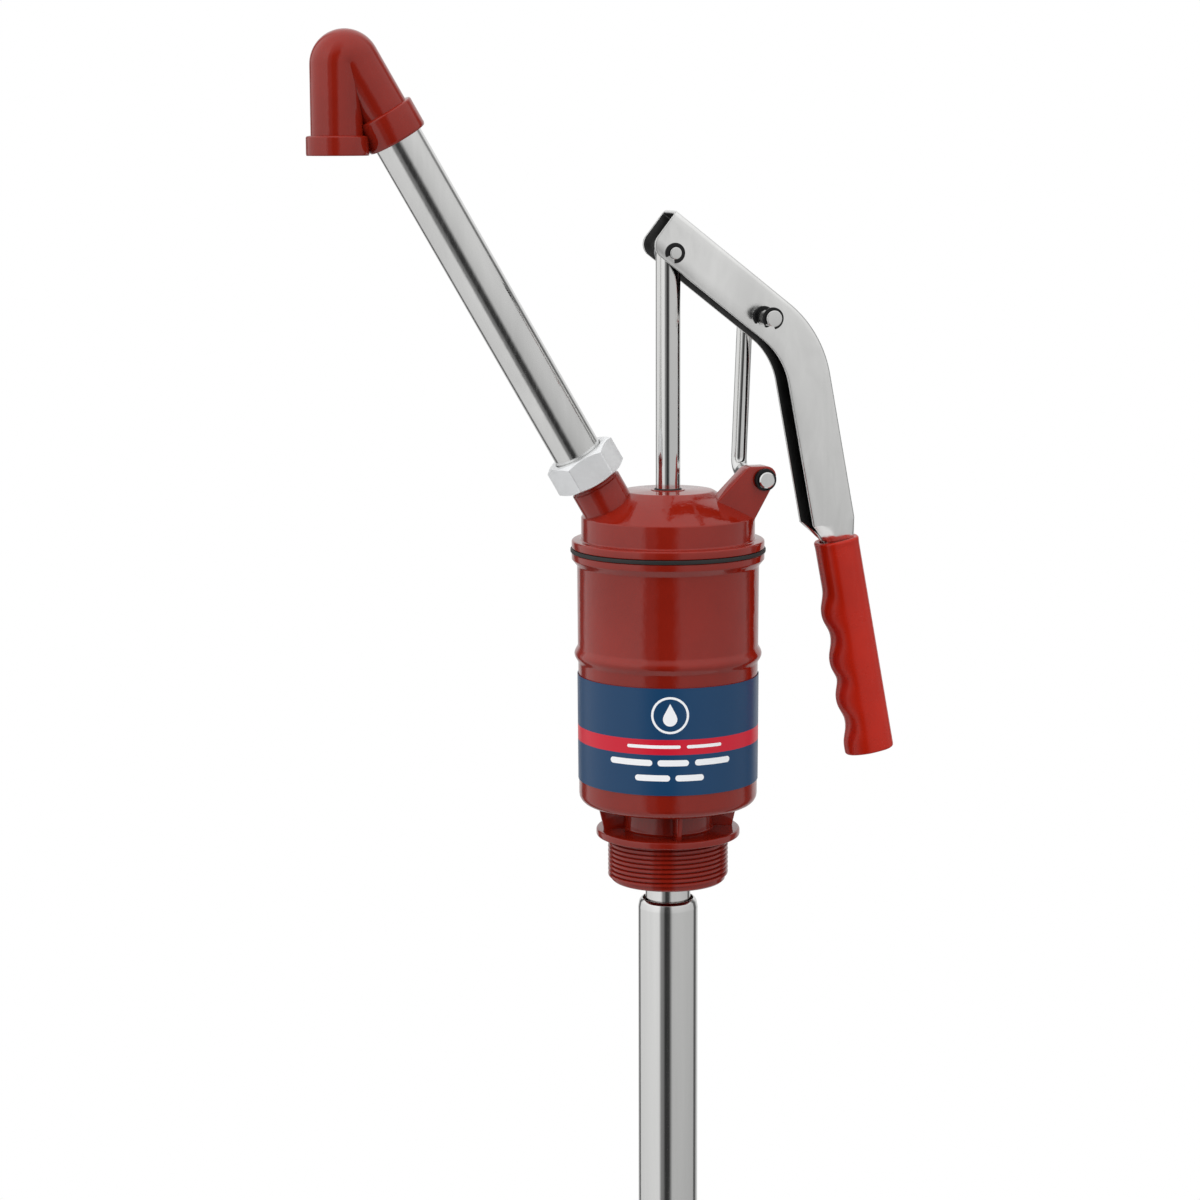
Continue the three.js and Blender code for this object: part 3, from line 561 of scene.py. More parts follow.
def angle_round(tree, parts):
    """The angle round the upright axis, anticlockwise from the front."""
    return reckon(tree, 'ARCTAN2', parts.outputs[0],
                  reckon(tree, 'MULTIPLY', parts.outputs[1], -1.0))


def raise_surface(tree, shader, height, distance, strength=1.0):
    bump = node(tree, 'ShaderNodeBump', Height=height, Distance=distance, Strength=strength)
    tree.links.new(bump.outputs[0], shader.inputs['Normal'])


# ---------------------------------------------------------------- finishes

def coated(name, rgb, rough, bump, ripple, pits, shades=(0.93, 1.07), **shader_values):
    """A coat or a moulding: a fine skin, and slow changes of shade and gloss."""
    material, tree, shader, place = start_finish(name)
    if tree:
        skin = group_node(tree, rippled_skin(), Place=place, Ripple_size=ripple, Pit_size=pits)
        base = blend_colours(tree, spread(tree, skin.outputs["Blotch"], 0.0, 1.0),
                             shade_of(rgb, shades[0]), shade_of(rgb, shades[1]))
        tree.links.new(base, shader.inputs['Base Color'])
        tree.links.new(spread(tree, skin.outputs["Blotch"], *rough), shader.inputs['Roughness'])
        raise_surface(tree, shader, skin.outputs["Height"], bump)
        set_shader(shader, **shader_values)
    return material


def red_enamel(colours):
    return coated("red_enamel", colours.enamel, (0.05, 0.09), 0.00009, 260.0, 1400.0,
                  (0.92, 1.08), IOR=1.52)


def plated(name, rgb, rough, streak_scale, fineness=700.0, bump=0.0, metallic=1.0):
    """A bright metal with streaks along one direction."""
    material, tree, shader, place = start_finish(name)
    if tree:
        along = node(tree, 'ShaderNodeMapping', Vector=place, Scale=streak_scale).outputs[0]
        marks = group_node(tree, drawn_streaks(), Place=along, Fineness=fineness)
        base = blend_colours(tree, spread(tree, marks.outputs["Smudge"], 0.0, 1.0),
                             shade_of(rgb, 0.92), shade_of(rgb, 1.04))
        tree.links.new(base, shader.inputs['Base Color'])
        tree.links.new(spread(tree, marks.outputs["Streak"], *rough), shader.inputs['Roughness'])
        set_shader(shader, Metallic=metallic)
        if bump:
            raise_surface(tree, shader, marks.outputs["Streak"], bump)
    return material


def chrome(colours):
    return plated("chrome", colours.plate, (0.07, 0.16), (1.0, 1.0, 0.03))


def spout_chrome(colours):
    """Chrome whose streaks follow the leaning tube."""
    material = plated("spout_chrome", colours.plate, (0.10, 0.20), (1.0, 1.0, 0.03), bump=0.00001)
    for part in material.node_tree.nodes:
        if part.bl_idname == 'ShaderNodeMapping':
            part.inputs['Rotation'].default_value = (0.0, SPOUT_LEAN, 0.0)
    return material


def lever_chrome(colours):
    """Chrome over rolled sheet, softer than on the tubes."""
    return plated("lever_chrome", shade_of(colours.plate, 1.2)[:3], (0.15, 0.22),
                  (1.0, 1.0, 0.35), 240.0, 0.000012)


def lever_inside_painted_shade(_colours):
    """Dull chrome for the inside of the folded lever, painted dark as shade in the channel."""
    return plated("lever_inside_painted_shade", (0.10, 0.10, 0.10), (0.30, 0.45), (1.0, 1.0, 0.35), 240.0,
                  0.00002)


def zinc_plate(_colours):
    return plated("zinc_plate", (0.82, 0.83, 0.84), (0.28, 0.40), (1.0, 1.0, 1.0), 420.0, 0.00003,
                  metallic=0.55)


def brass(_colours):
    return plated("brass", (0.60, 0.40, 0.15), (0.25, 0.35), (1.0, 1.0, 0.2))


def steel(_colours):
    return plated("steel", (0.52, 0.53, 0.54), (0.22, 0.34), (1.0, 1.0, 0.5))


def black_oxide(_colours):
    return plated("black_oxide", (0.035, 0.035, 0.036), (0.32, 0.5), (1.0, 1.0, 1.0), 500.0,
                  0.00002)


def black_rubber(_colours):
    return coated("black_rubber", (0.012, 0.012, 0.012), (0.5, 0.65), 0.00006, 900.0, 3600.0)


def nylon(_colours):
    return coated("nylon", (0.72, 0.69, 0.60), (0.4, 0.5), 0.00004, 700.0, 2800.0,
                  Subsurface_Weight=0.05)


def grip_vinyl(colours):
    return coated("grip_vinyl", colours.vinyl, (0.22, 0.32), 0.00007, 150.0, 2600.0,
                  (0.88, 1.06), Specular_IOR_Level=0.38)


# Bars of ink on the label, from its middle: along, height, half length, half height (mm).
LABEL_BARS = (
    (-8, 52.9, 13.0, 0.8), (17, 52.9, 9.0, 0.8),
    (-19.5, 45.0, 11.0, 1.5), (1.5, 45.0, 7.5, 1.5), (21.5, 45.0, 9.5, 1.5),
    (-8.5, 37.6, 8.5, 1.5), (9.5, 37.6, 7.0, 1.5),
)


def label_print(colours):
    """A dark field with one stripe, a round drop badge and plain bars, printed round the barrel."""
    material, tree, shader, place = start_finish("label_print")
    if not tree:
        return material
    parts = node(tree, 'ShaderNodeSeparateXYZ', Vector=place)
    facing = bpy.context.scene.drum_pump.studio.azimuth
    barrel_radius = bpy.context.scene.drum_pump.barrel.radius_low
    turned_by = reckon(tree, 'SUBTRACT', angle_round(tree, parts), facing)
    along = reckon(tree, 'MULTIPLY', turned_by, barrel_radius)
    height = parts.outputs[2]

    def bar(middle_along, middle_height, half_length, half_height):
        return group_node(tree, printed_bar(), Along=along, Height=height,
                          Middle_along=middle_along * MM, Middle_height=middle_height * MM,
                          Half_length=half_length * MM, Half_height=half_height * MM).outputs[0]

    stripe_middle, stripe_half = 52.7 * MM, 3.7 * MM
    from_stripe = reckon(tree, 'ABSOLUTE', reckon(tree, 'SUBTRACT', height, stripe_middle))
    stripe = reckon(tree, 'LESS_THAN', from_stripe, stripe_half)
    badge_middle, badge_outer, badge_inner = 68.3, 9.0, 7.9
    ring = reckon(tree, 'SUBTRACT', bar(0, badge_middle, badge_outer, badge_outer),
                  bar(0, badge_middle, badge_inner, badge_inner))
    drop_middle, drop_radius = 66.4, 3.4
    drop_round = bar(0, drop_middle, drop_radius, drop_radius)
    tip_height, tip_slope, tip_foot = 74.0 * MM, 0.52, 68.1 * MM
    below_tip = reckon(tree, 'SUBTRACT', tip_height, height)
    inside_tip = reckon(tree, 'LESS_THAN', reckon(tree, 'ABSOLUTE', along),
                        reckon(tree, 'MULTIPLY', below_tip, tip_slope))
    above_round = reckon(tree, 'GREATER_THAN', height, tip_foot)
    drop = reckon(tree, 'MAXIMUM', drop_round, reckon(tree, 'MULTIPLY', inside_tip, above_round))
    ink = reckon(tree, 'MAXIMUM', ring, drop)
    for values in LABEL_BARS:
        ink = reckon(tree, 'MAXIMUM', ink, bar(*values))
    base = blend_colours(tree, stripe, shade_of(colours.field, 1.0), shade_of(colours.stripe, 1.0))
    base = blend_colours(tree, ink, base, shade_of(colours.marks, 1.0))
    tree.links.new(base, shader.inputs['Base Color'])
    skin = group_node(tree, rippled_skin(), Place=place, Ripple_size=120.0, Pit_size=2000.0)
    tree.links.new(spread(tree, skin.outputs["Blotch"], 0.28, 0.38), shader.inputs['Roughness'])
    raise_surface(tree, shader, skin.outputs["Height"], 0.00004)
    set_shader(shader, Specular_IOR_Level=0.35)
    return material


FINISHES = {
    "red_enamel": red_enamel,
    "chrome": chrome,
    "zinc_plate": zinc_plate,
    "black_oxide": black_oxide,
    "black_rubber": black_rubber,
    "grip_vinyl": grip_vinyl,
    "label_print": label_print,
    "brass": brass,
    "steel": steel,
    "nylon": nylon,
}


# ---------------------------------------------------------------- barrel, neck, label, gasket

def bead_corners(barrel):
    """The raised band round the barrel, as a smooth wave of the wall."""
    corners = []
    middle, half, steps = barrel.bead_height / MM, 4.4, 14
    wall = (barrel.radius_low + barrel.radius_high) / 2 / MM
    for i in range(steps + 1):
        share = 2 * i / steps - 1
        rise = barrel.bead_proud / MM * math.cos(share * math.pi / 2) ** 1.6
        corners.append((wall + 0.07 * share + rise, middle + half * share))
    return corners


class DRUMPUMP_OT_barrel(Operator):
    """Turns the barrel with its bead and flange"""
    bl_idname = "drumpump.barrel"
    bl_label = "Barrel"

    def execute(self, context):
        barrel = context.scene.drum_pump.barrel
        low, high = barrel.radius_low / MM, barrel.radius_high / MM
        bottom, top, flange = barrel.bottom / MM, barrel.top / MM, barrel.flange / MM
        bore, hub = barrel.bore / MM, barrel.hub / MM
        head_bore, head_bore_bottom, floor = 40.3, 129.4, 24
        piece = turned("barrel", [
            (hub - 0.4, bottom), (low, bottom, barrel.corner / MM), *bead_corners(barrel),
            (high, top - 6.4, 1.6), (flange - 0.9, top - 4.3, 0.8), (flange, top - 3.2, 0.6),
            (flange, top, 0.7), (head_bore, top, 0.4), (head_bore, head_bore_bottom),
            (bore, head_bore_bottom), (bore, floor), (hub - 0.4, floor),
        ], facets=128)
        finished(piece, "red_enamel", "housing", "pump_body")
        return {'FINISHED'}


def rib(barrel):
    """One rib between the collar and the barrel, widening upwards."""
    inner, low_reach, high_reach, half = 19.0, 32.1, 35.2, 1.3
    low, high = barrel.collar_top / MM - 0.4, barrel.bottom / MM + 0.3
    piece = plate("rib", [(inner, low), (low_reach, low), (high_reach, high), (inner, high)],
                  -half, half)
    return soften(piece, 0.5, segments=3)


class DRUMPUMP_OT_neck(Operator):
    """Makes the bung neck: collar, hub, ribs and a screwed thread"""
    bl_idname = "drumpump.neck"
    bl_label = "Bung neck"

    def execute(self, context):
        barrel = context.scene.drum_pump.barrel
        root, crest = barrel.thread_root / MM, barrel.thread_crest / MM
        pitch, end = barrel.thread_pitch / MM, -barrel.thread_length / MM
        collar, collar_top, hub = barrel.collar / MM, barrel.collar_top / MM, barrel.hub / MM
        tube_bore, recess_inner, recess_outer, recess_roof = 11.5, 15.5, 25.0, -4.0
        inlet, inlet_step, floor = 9.0, -2.0, 24.0
        piece = turned("bung_neck", [
            (root - 0.9, end, 0.3), (root, end + 0.9, 0.2), (root, 0, 0.4), (collar, 0, 0.9),
            (collar, collar_top, 1.1), (hub, collar_top, 1.0), (hub, floor), (inlet, floor),
            (inlet, inlet_step), (tube_bore, inlet_step), (tube_bore, end, 0.4),
            (recess_inner, end, 0.3), (recess_inner, recess_roof), (recess_outer, recess_roof),
            (recess_outer, end, 0.4),
        ], facets=128)
        turns = math.floor(-end / pitch) - 1
        first = end + 0.8 * pitch
        sunk, flat, slope = 0.1, 0.25 * pitch, 0.48 * pitch
        ridge = draw_line("thread", [Vector(p) * MM for p in (
            (root - sunk, 0, first - slope), (crest - 0.15, 0, first - flat),
            (crest, 0, first), (crest - 0.15, 0, first + flat), (root - sunk, 0, first + slope),
            (root - sunk, 0, first - slope))])
        end_edit(outward=False)
        apply_modifier(ridge, 'SCREW', angle=2 * math.pi, screw_offset=pitch * MM,
                       iterations=turns, steps=72, render_steps=72, use_merge_vertices=True)
        only(ridge)
        bpy.ops.object.mode_set(mode='EDIT')
        cap_ends()
        end_edit()
        pattern = rib(barrel)
        ribs = [copied(pattern, "rib", math.radians(-8) + i * 2 * math.pi / barrel.ribs)
                for i in range(barrel.ribs)]
        bpy.data.objects.remove(pattern)
        merge(piece, ridge, *ribs)
        finished(piece, "red_enamel", "housing", "bung_neck")
        return {'FINISHED'}


class DRUMPUMP_OT_label(Operator):
    """Wraps the printed label round the barrel, open at the back"""
    bl_idname = "drumpump.label"
    bl_label = "Label"

    def execute(self, context):
        low, high, thick = 29.0, 81.3, 0.25
        inner_low, inner_high = 44.05, 44.3
        piece = turned("label", [
            (inner_low, low), (inner_low + thick, low), (inner_high + thick, high),
            (inner_high, high)], facets=110, sweep=300, start=120)
        finished(piece, "label_print", "housing", "label")
        return {'FINISHED'}


class DRUMPUMP_OT_gasket(Operator):
    """Lays the gasket between barrel and head"""
    bl_idname = "drumpump.gasket"
    bl_label = "Head gasket"

    def execute(self, context):
        inner, outer, low, high = 40.3, 47.7, 141.4, 143.3
        piece = turned("head_gasket", [
            (inner, low), (outer, low, 0.5), (outer, high, 0.5), (inner, high)], facets=128)
        finished(piece, "black_rubber", "housing", "head_gasket")
        return {'FINISHED'}


# ---------------------------------------------------------------- head and gland

# Height of the lower end of the spigot that centres the head in the barrel.
SPIGOT_BOTTOM = 130.0


class DRUMPUMP_OT_head(Operator):
    """Makes the head: a stepped cap, the leaning boss for the spout and the lug for the link"""
    bl_idname = "drumpump.head"
    bl_label = "Cylinder head"

    def execute(self, context):
        head = context.scene.drum_pump.head
        flange = context.scene.drum_pump.barrel.flange / MM
        bottom, flange_top, radius = head.bottom / MM, head.flange_top / MM, head.radius / MM
        shoulder, crown = head.shoulder / MM, head.crown / MM
        top, boss = head.top / MM, head.boss / MM
        cap = turned("cylinder_head", [
            (0, SPIGOT_BOTTOM), (40, SPIGOT_BOTTOM, 0.5), (40, bottom), (flange, bottom, 0.6),
            (flange, flange_top, 1.0), (radius, flange_top, 1.0), (radius, shoulder, 1.1),
            (crown, top, 2.2), (8.4, top, 0.3), (8.4, top + 0.4, 0.2), (0, top + 0.4),
        ], facets=128, closed=False)
        spout_boss = turned("boss", [
            (0, -14), (boss, -14), (boss, 4.6, 0.3), (boss - 0.7, 5.2, 0.2), (boss - 0.7, 6.3, 0.2),
            (boss - 0.1, 6.9, 0.2), (boss - 0.1, 12, 0.6), (0, 12),
        ], SPOUT_FOOT, SPOUT_AXIS, 80, closed=False)
        near, far = -22.0, -11.5
        pivot_x, pivot_z = LUG_PIVOT.x / MM, LUG_PIVOT.z / MM
        lug_corners = ((-28, -13.85), (-7.9, 6.25, 4), (9.8, 6.25, 5.6), (-7, -23.6), (-28, -23.6))
        lug = plate("lug", [(pivot_x + x, pivot_z + z, *rounding)
                            for x, z, *rounding in lug_corners], near, far)
        soften(lug, 0.8, segments=3)
        combine(cap, spout_boss, 'UNION')
        combine(cap, lug, 'UNION')
        wall, gland, chamber, past = 4.2, 14.0, 36.5, SPIGOT_BOTTOM - 1
        hollow = turned("hollow", [
            (gland, past), (chamber, past), (chamber, shoulder - wall),
            (crown - 2, top - wall), (gland, top - wall)], facets=96)
        seal_bore, seal_low, seal_high, rod_hole = 9, 150.5, 168.5, 6.9
        rod_way = turned("rod_way", [
            (0, past), (gland + 0.1, past), (gland + 0.1, seal_low), (seal_bore, seal_low),
            (seal_bore, seal_high), (rod_hole, seal_high), (rod_hole, top + 2), (0, top + 2)],
            facets=96, closed=False)
        spout_way, link_hole = 9.2, 4.2
        boss_bore = turned("boss_bore", [(0, -20), (spout_way, -20), (spout_way, 13), (0, 13)],
                           SPOUT_FOOT, SPOUT_AXIS, 64, closed=False)
        lug_hole = cross_turned("lug_hole", LUG_PIVOT, [
            (0, near - 1), (link_hole, near - 1), (link_hole, far + 1), (0, far + 1)])
        for tool in (hollow, rod_way, boss_bore, lug_hole):
            combine(cap, tool, 'DIFFERENCE')
        finished(cap, "red_enamel", "housing", "cylinder_head")
        return {'FINISHED'}


class DRUMPUMP_OT_wiper(Operator):
    """Makes the wiper ring round the rod"""
    bl_idname = "drumpump.wiper"
    bl_label = "Rod wiper"

    def execute(self, context):
        bore, lip, body = 6.1, 6.7, 8.85
        low, shoulder, high = 165.7, 168.2, 172.5
        piece = turned("rod_wiper", [
            (bore, low), (body, low), (body, shoulder), (lip, shoulder), (lip, high - 0.5, 0.2),
            (bore + 0.15, high, 0.1), (bore, high)], facets=64)
        finished(piece, "black_rubber", "housing", "rod_wiper")
        return {'FINISHED'}


# ---------------------------------------------------------------- spout

# The nut is leant with the spout, after a small turn about its own axis.
HEX_TURN = (Matrix.Rotation(-SPOUT_LEAN, 3, 'Y')
            @ Matrix.Rotation(math.radians(22), 3, 'Z')).to_euler()


class DRUMPUMP_OT_union_nut(Operator):
    """Makes the union nut: a hexagon with chamfered ends"""
    bl_idname = "drumpump.union_nut"
    bl_label = "Union nut"

    def execute(self, context):
        spout = context.scene.drum_pump.spout
        start, end, across = spout.nut_start / MM, spout.nut_end / MM, spout.nut_across / MM
        flat, corner = across / 2, across / 2 / math.cos(math.pi / 6)
        middle = SPOUT_FOOT + SPOUT_AXIS * (start + end) / 2 * MM
        hexagon = begin("union_nut", bpy.ops.mesh.primitive_cylinder_add, vertices=6,
                        radius=corner * MM, depth=(end - start) * MM, location=middle,
                        rotation=HEX_TURN)
        end_edit()
        soften(hexagon, 0.5, segments=3)
        chamfer = 1.7
        trim = turned("trim", [
            (0, start), (flat - 1.2, start, 0.5), (corner + 0.1, start + chamfer, 0.8),
            (corner + 0.1, end - chamfer, 0.8), (flat - 0.6, end, 0.6), (0, end),
        ], SPOUT_FOOT, SPOUT_AXIS, 96, closed=False)
        combine(hexagon, trim, 'INTERSECT')
        tube_hole, thread_bore, ledge = 12.05, 12.9, 18.4
        bore = turned("bore", [
            (0, start - 1), (thread_bore, start - 1), (thread_bore, ledge), (tube_hole, ledge),
            (tube_hole, end - 0.5), (tube_hole + 0.9, end + 0.5), (0, end + 0.5),
        ], SPOUT_FOOT, SPOUT_AXIS, 80, closed=False)
        combine(hexagon, bore, 'DIFFERENCE')
        finished(hexagon, "zinc_plate", "housing", "union_nut")
        return {'FINISHED'}


class DRUMPUMP_OT_discharge_tube(Operator):
    """Makes the leaning discharge tube"""
    bl_idname = "drumpump.discharge_tube"
    bl_label = "Discharge tube"

    def execute(self, context):
        spout = context.scene.drum_pump.spout
        tube, bore = spout.tube / MM, spout.tube_bore / MM
        start, end = spout.tube_start / MM, spout.tube_end / MM
        piece = turned("discharge_tube", [
            (bore, start, 0.3), (tube, start, 0.4), (tube, end, 0.4), (bore, end, 0.3),
        ], SPOUT_FOOT, SPOUT_AXIS, 96)
        finished(piece, "chrome", "spout", "discharge_tube")
        piece.data.materials[0] = spout_chrome(context.scene.drum_pump.colours)
        return {'FINISHED'}


def elbow_leg(name, lean, other, centre, top, radius, extent):
    """A leg of the elbow: an open tube, cut square at the bend and along the fork below it."""
    begin(name, bpy.ops.mesh.primitive_cylinder_add, vertices=96, radius=radius,
          depth=2 * extent, end_fill_type='NOTHING', location=top, rotation=(0, -lean, 0))
    axis = Vector((-math.sin(lean), 0, math.cos(lean)))
    bpy.ops.mesh.bisect(plane_co=centre, plane_no=axis, clear_outer=True)
    bpy.ops.mesh.select_all(action='SELECT')
    bpy.ops.mesh.bisect(plane_co=centre, plane_no=(axis - other).normalized(), clear_outer=True)
    return end_edit(outward=False)


class DRUMPUMP_OT_elbow(Operator):
    """Makes the cast elbow: two mitred legs, the round back, a collar on each end and the bore"""
    bl_idname = "drumpump.elbow"
    bl_label = "Elbow"

    def execute(self, context):
        spout = context.scene.drum_pump.spout
        radius, collar = spout.leg / MM, spout.collar / MM
        offset = Vector((-math.cos(SPOUT_LEAN), 0, -math.sin(SPOUT_LEAN)))
        bend_start = SPOUT_FOOT + SPOUT_AXIS * spout.bend
        centre = bend_start + offset * spout.bend_radius
        turn = math.pi - SPOUT_LEAN
        outlet_top = centre + Vector((-spout.bend_radius, 0, 0))
        drop = (centre.z - spout.outlet) / MM
        socket_start, socket_end = spout.socket_start / MM, spout.socket_end / MM
        collar_top = -drop + spout.outlet_collar / MM
        up_leg = elbow_leg("spout_elbow", SPOUT_LEAN, UP, centre, bend_start, spout.leg,
                           spout.bend - spout.socket_start - 0.5 * MM)
        down_leg = elbow_leg("down_leg", 0, SPOUT_AXIS, centre, outlet_top, spout.leg,
                             centre.z - spout.outlet - 0.5 * MM)
        merge(up_leg, down_leg)
        bpy.ops.object.mode_set(mode='EDIT')
        choose(lambda edge: edge.is_boundary and all(
            abs((vert.co - centre).dot(SPOUT_AXIS)) < 1e-6 for vert in edge.verts), 'EDGE')
        revolve(30, turn, centre, -ACROSS)
        cap_ends()
        end_edit()
        socket = turned("socket", [
            (0, socket_start), (collar - 0.4, socket_start, 0.4),
            (collar, socket_start + 1.0, 0.4), (collar, socket_end, 0.9),
            (radius - 1, socket_end + 0.6), (0, socket_end + 0.6),
        ], SPOUT_FOOT, SPOUT_AXIS, 100, closed=False, start=1.3)
        mouth = turned("mouth", [
            (0, -drop), (collar - 0.2, -drop, 0.3), (collar, -drop + 0.8, 0.3),
            (collar, collar_top, 1.0), (radius - 1, collar_top + 0.5), (0, collar_top + 0.5),
        ], outlet_top, UP, 100, closed=False, start=1.3)
        combine(up_leg, socket, 'UNION')
        combine(up_leg, mouth, 'UNION')
        way, fit, tube_end = 10.3, 12.05, spout.tube_end / MM + 0.3
        outlet_bore = turned("outlet_bore", [
            (0, -drop - 1), (way + 1, -drop - 1), (way, -drop + 0.6), (way, -4, 3), (0, -4),
        ], outlet_top, UP, 80, closed=False)
        socket_bore = turned("socket_bore", [
            (0, socket_start - 1), (fit, socket_start - 1), (fit, tube_end), (0, tube_end),
        ], SPOUT_FOOT, SPOUT_AXIS, 80, closed=False)
        combine(up_leg, outlet_bore, 'DIFFERENCE')
        combine(up_leg, socket_bore, 'DIFFERENCE')
        finished(up_leg, "red_enamel", "spout", "spout_elbow")
        return {'FINISHED'}


# ---------------------------------------------------------------- lever and grip

def along_arm(slope):
    return Vector((math.cos(slope), 0, math.sin(slope)))


def into_arm(slope):
    """The direction from the web into the channel."""
    return Vector((math.sin(slope), 0, -math.cos(slope)))


def both_walls(wall, half, corner):
    """A folded section, as (inward, across) from its web's middle: one wall's points, its
    rounded corner, the web and the same again on the other side."""
    side = list(wall)
    for degrees in range(0, 91, 18):
        angle = math.radians(degrees)
        side.append((corner - corner * math.sin(angle),
                     -half + corner - corner * math.cos(angle)))
    return side + [(0.0, 0.0)] + [(inward, -across) for inward, across in reversed(side)]


def channel_section(lever):
    """The outside of the lever's channel."""
    half, depth = lever.half_width / MM, lever.depth / MM
    return both_walls([(depth * share, -half) for share in (1, 0.72, 0.45, 0.25)], half, 2.8)


def tang_section():
    """The narrow rolled end of the lever, with as many points as the channel."""
    half, depth = 6.8, 16.0
    return both_walls([(depth, -2.6), (depth - 0.9, -5.2), (depth * 0.7, -half),
                       (depth * 0.45, -half)], half, 4.5)


class DRUMPUMP_OT_lever(Operator):
    """Folds the lever: a channel bent once, its walls rolled in above the grip"""
    bl_idname = "drumpump.lever"
    bl_label = "Lever"

    def execute(self, context):
        lever = context.scene.drum_pump.lever
        upper, lower = along_arm(UPPER_SLOPE), along_arm(LOWER_SLOPE)
        turn = UPPER_SLOPE - LOWER_SLOPE
        reach = lever.bend * math.tan(turn / 2)
        bend_start = BEND_CORNER - upper * reach
        centre = bend_start + into_arm(UPPER_SLOPE) * lever.bend
        rod_end = ROD_PIVOT - upper * lever.beyond - into_arm(UPPER_SLOPE) * lever.web_above
        rod_end = bend_start + upper * (rod_end - bend_start).dot(upper)
        piece = draw_line("lever_channel", [
            rod_end + into_arm(UPPER_SLOPE) * inward * MM + ACROSS * across * MM
            for inward, across in channel_section(lever)])
        extrude(bend_start - rod_end)
        corner_radius, cuts = 6.5 * MM, 7
        lip = rod_end + into_arm(UPPER_SLOPE) * lever.depth
        round_centre = lip + (upper - into_arm(UPPER_SLOPE)) * corner_radius
        for i in range(1, cuts):
            angle = math.radians(90 * i / cuts)
            outward = into_arm(UPPER_SLOPE) * math.sin(angle) - upper * math.cos(angle)
            bpy.ops.mesh.select_all(action='SELECT')
            bpy.ops.mesh.bisect(plane_co=round_centre + outward * corner_radius,
                                plane_no=outward, clear_outer=True)
        choose(lambda edge: all(abs((vert.co - bend_start).dot(upper)) < 1e-6
                                for vert in edge.verts), 'EDGE')
        revolve(24, turn, centre, ACROSS)
        bend_end = BEND_CORNER + lower * reach
        channel_end = BEND_CORNER + lower * lever.channel_end
        extrude(channel_end - bend_end)
        bpy.ops.object.mode_set(mode='OBJECT')
        tang_start, tang_end = 104.0 * MM, 186.0 * MM
        tang = draw_line("tang", [
            BEND_CORNER + lower * tang_start + into_arm(LOWER_SLOPE) * inward * MM
            + ACROSS * across * MM for inward, across in tang_section()])
        extrude(lower * (tang_end - tang_start))
        bpy.ops.object.mode_set(mode='OBJECT')
        merge(piece, tang)
        bpy.ops.object.mode_set(mode='EDIT')
        weld()

        def at_station(vert, station):
            return abs((vert.co - BEND_CORNER).dot(lower) - station) < 1e-5 and vert.co.z < 0.18

        choose(lambda edge: all(at_station(vert, lever.channel_end) for vert in edge.verts)
               or all(at_station(vert, tang_start) for vert in edge.verts), 'EDGE')
        bpy.ops.mesh.bridge_edge_loops(number_cuts=6, interpolation='LINEAR')
        weld()
        bpy.ops.mesh.normals_make_consistent(inside=False)
        face_outward(piece, centre)
        leave_edit()
        colours = context.scene.drum_pump.colours
        piece.data.materials.append(lever_chrome(colours))
        # The second finish goes on the inner shell that Solidify adds: its dark colour is painted
        # shade inside the channel.
        piece.data.materials.append(lever_inside_painted_shade(colours))
        apply_modifier(piece, 'SOLIDIFY', thickness=lever.wall, offset=-1.0, use_even_offset=True,
                       material_offset=1)
        soften(piece, 0.35, angle=60)
        finished(piece, None, "lever", "lever_channel")
        return {'FINISHED'}


def face_outward(piece, inside):
    """Turns an open sheet's faces away from a place on its hollow side."""
    mesh = bmesh.from_edit_mesh(piece.data)
    web = max(mesh.faces, key=lambda face: face.calc_center_median().z)
    if web.normal.dot(web.calc_center_median() - inside) < 0:
        bpy.ops.mesh.flip_normals()


# The bumps between the fingers, in millimetres down the lower arm.
FINGER_BUMPS = (140.6, 165.5, 186.0, 211.0)


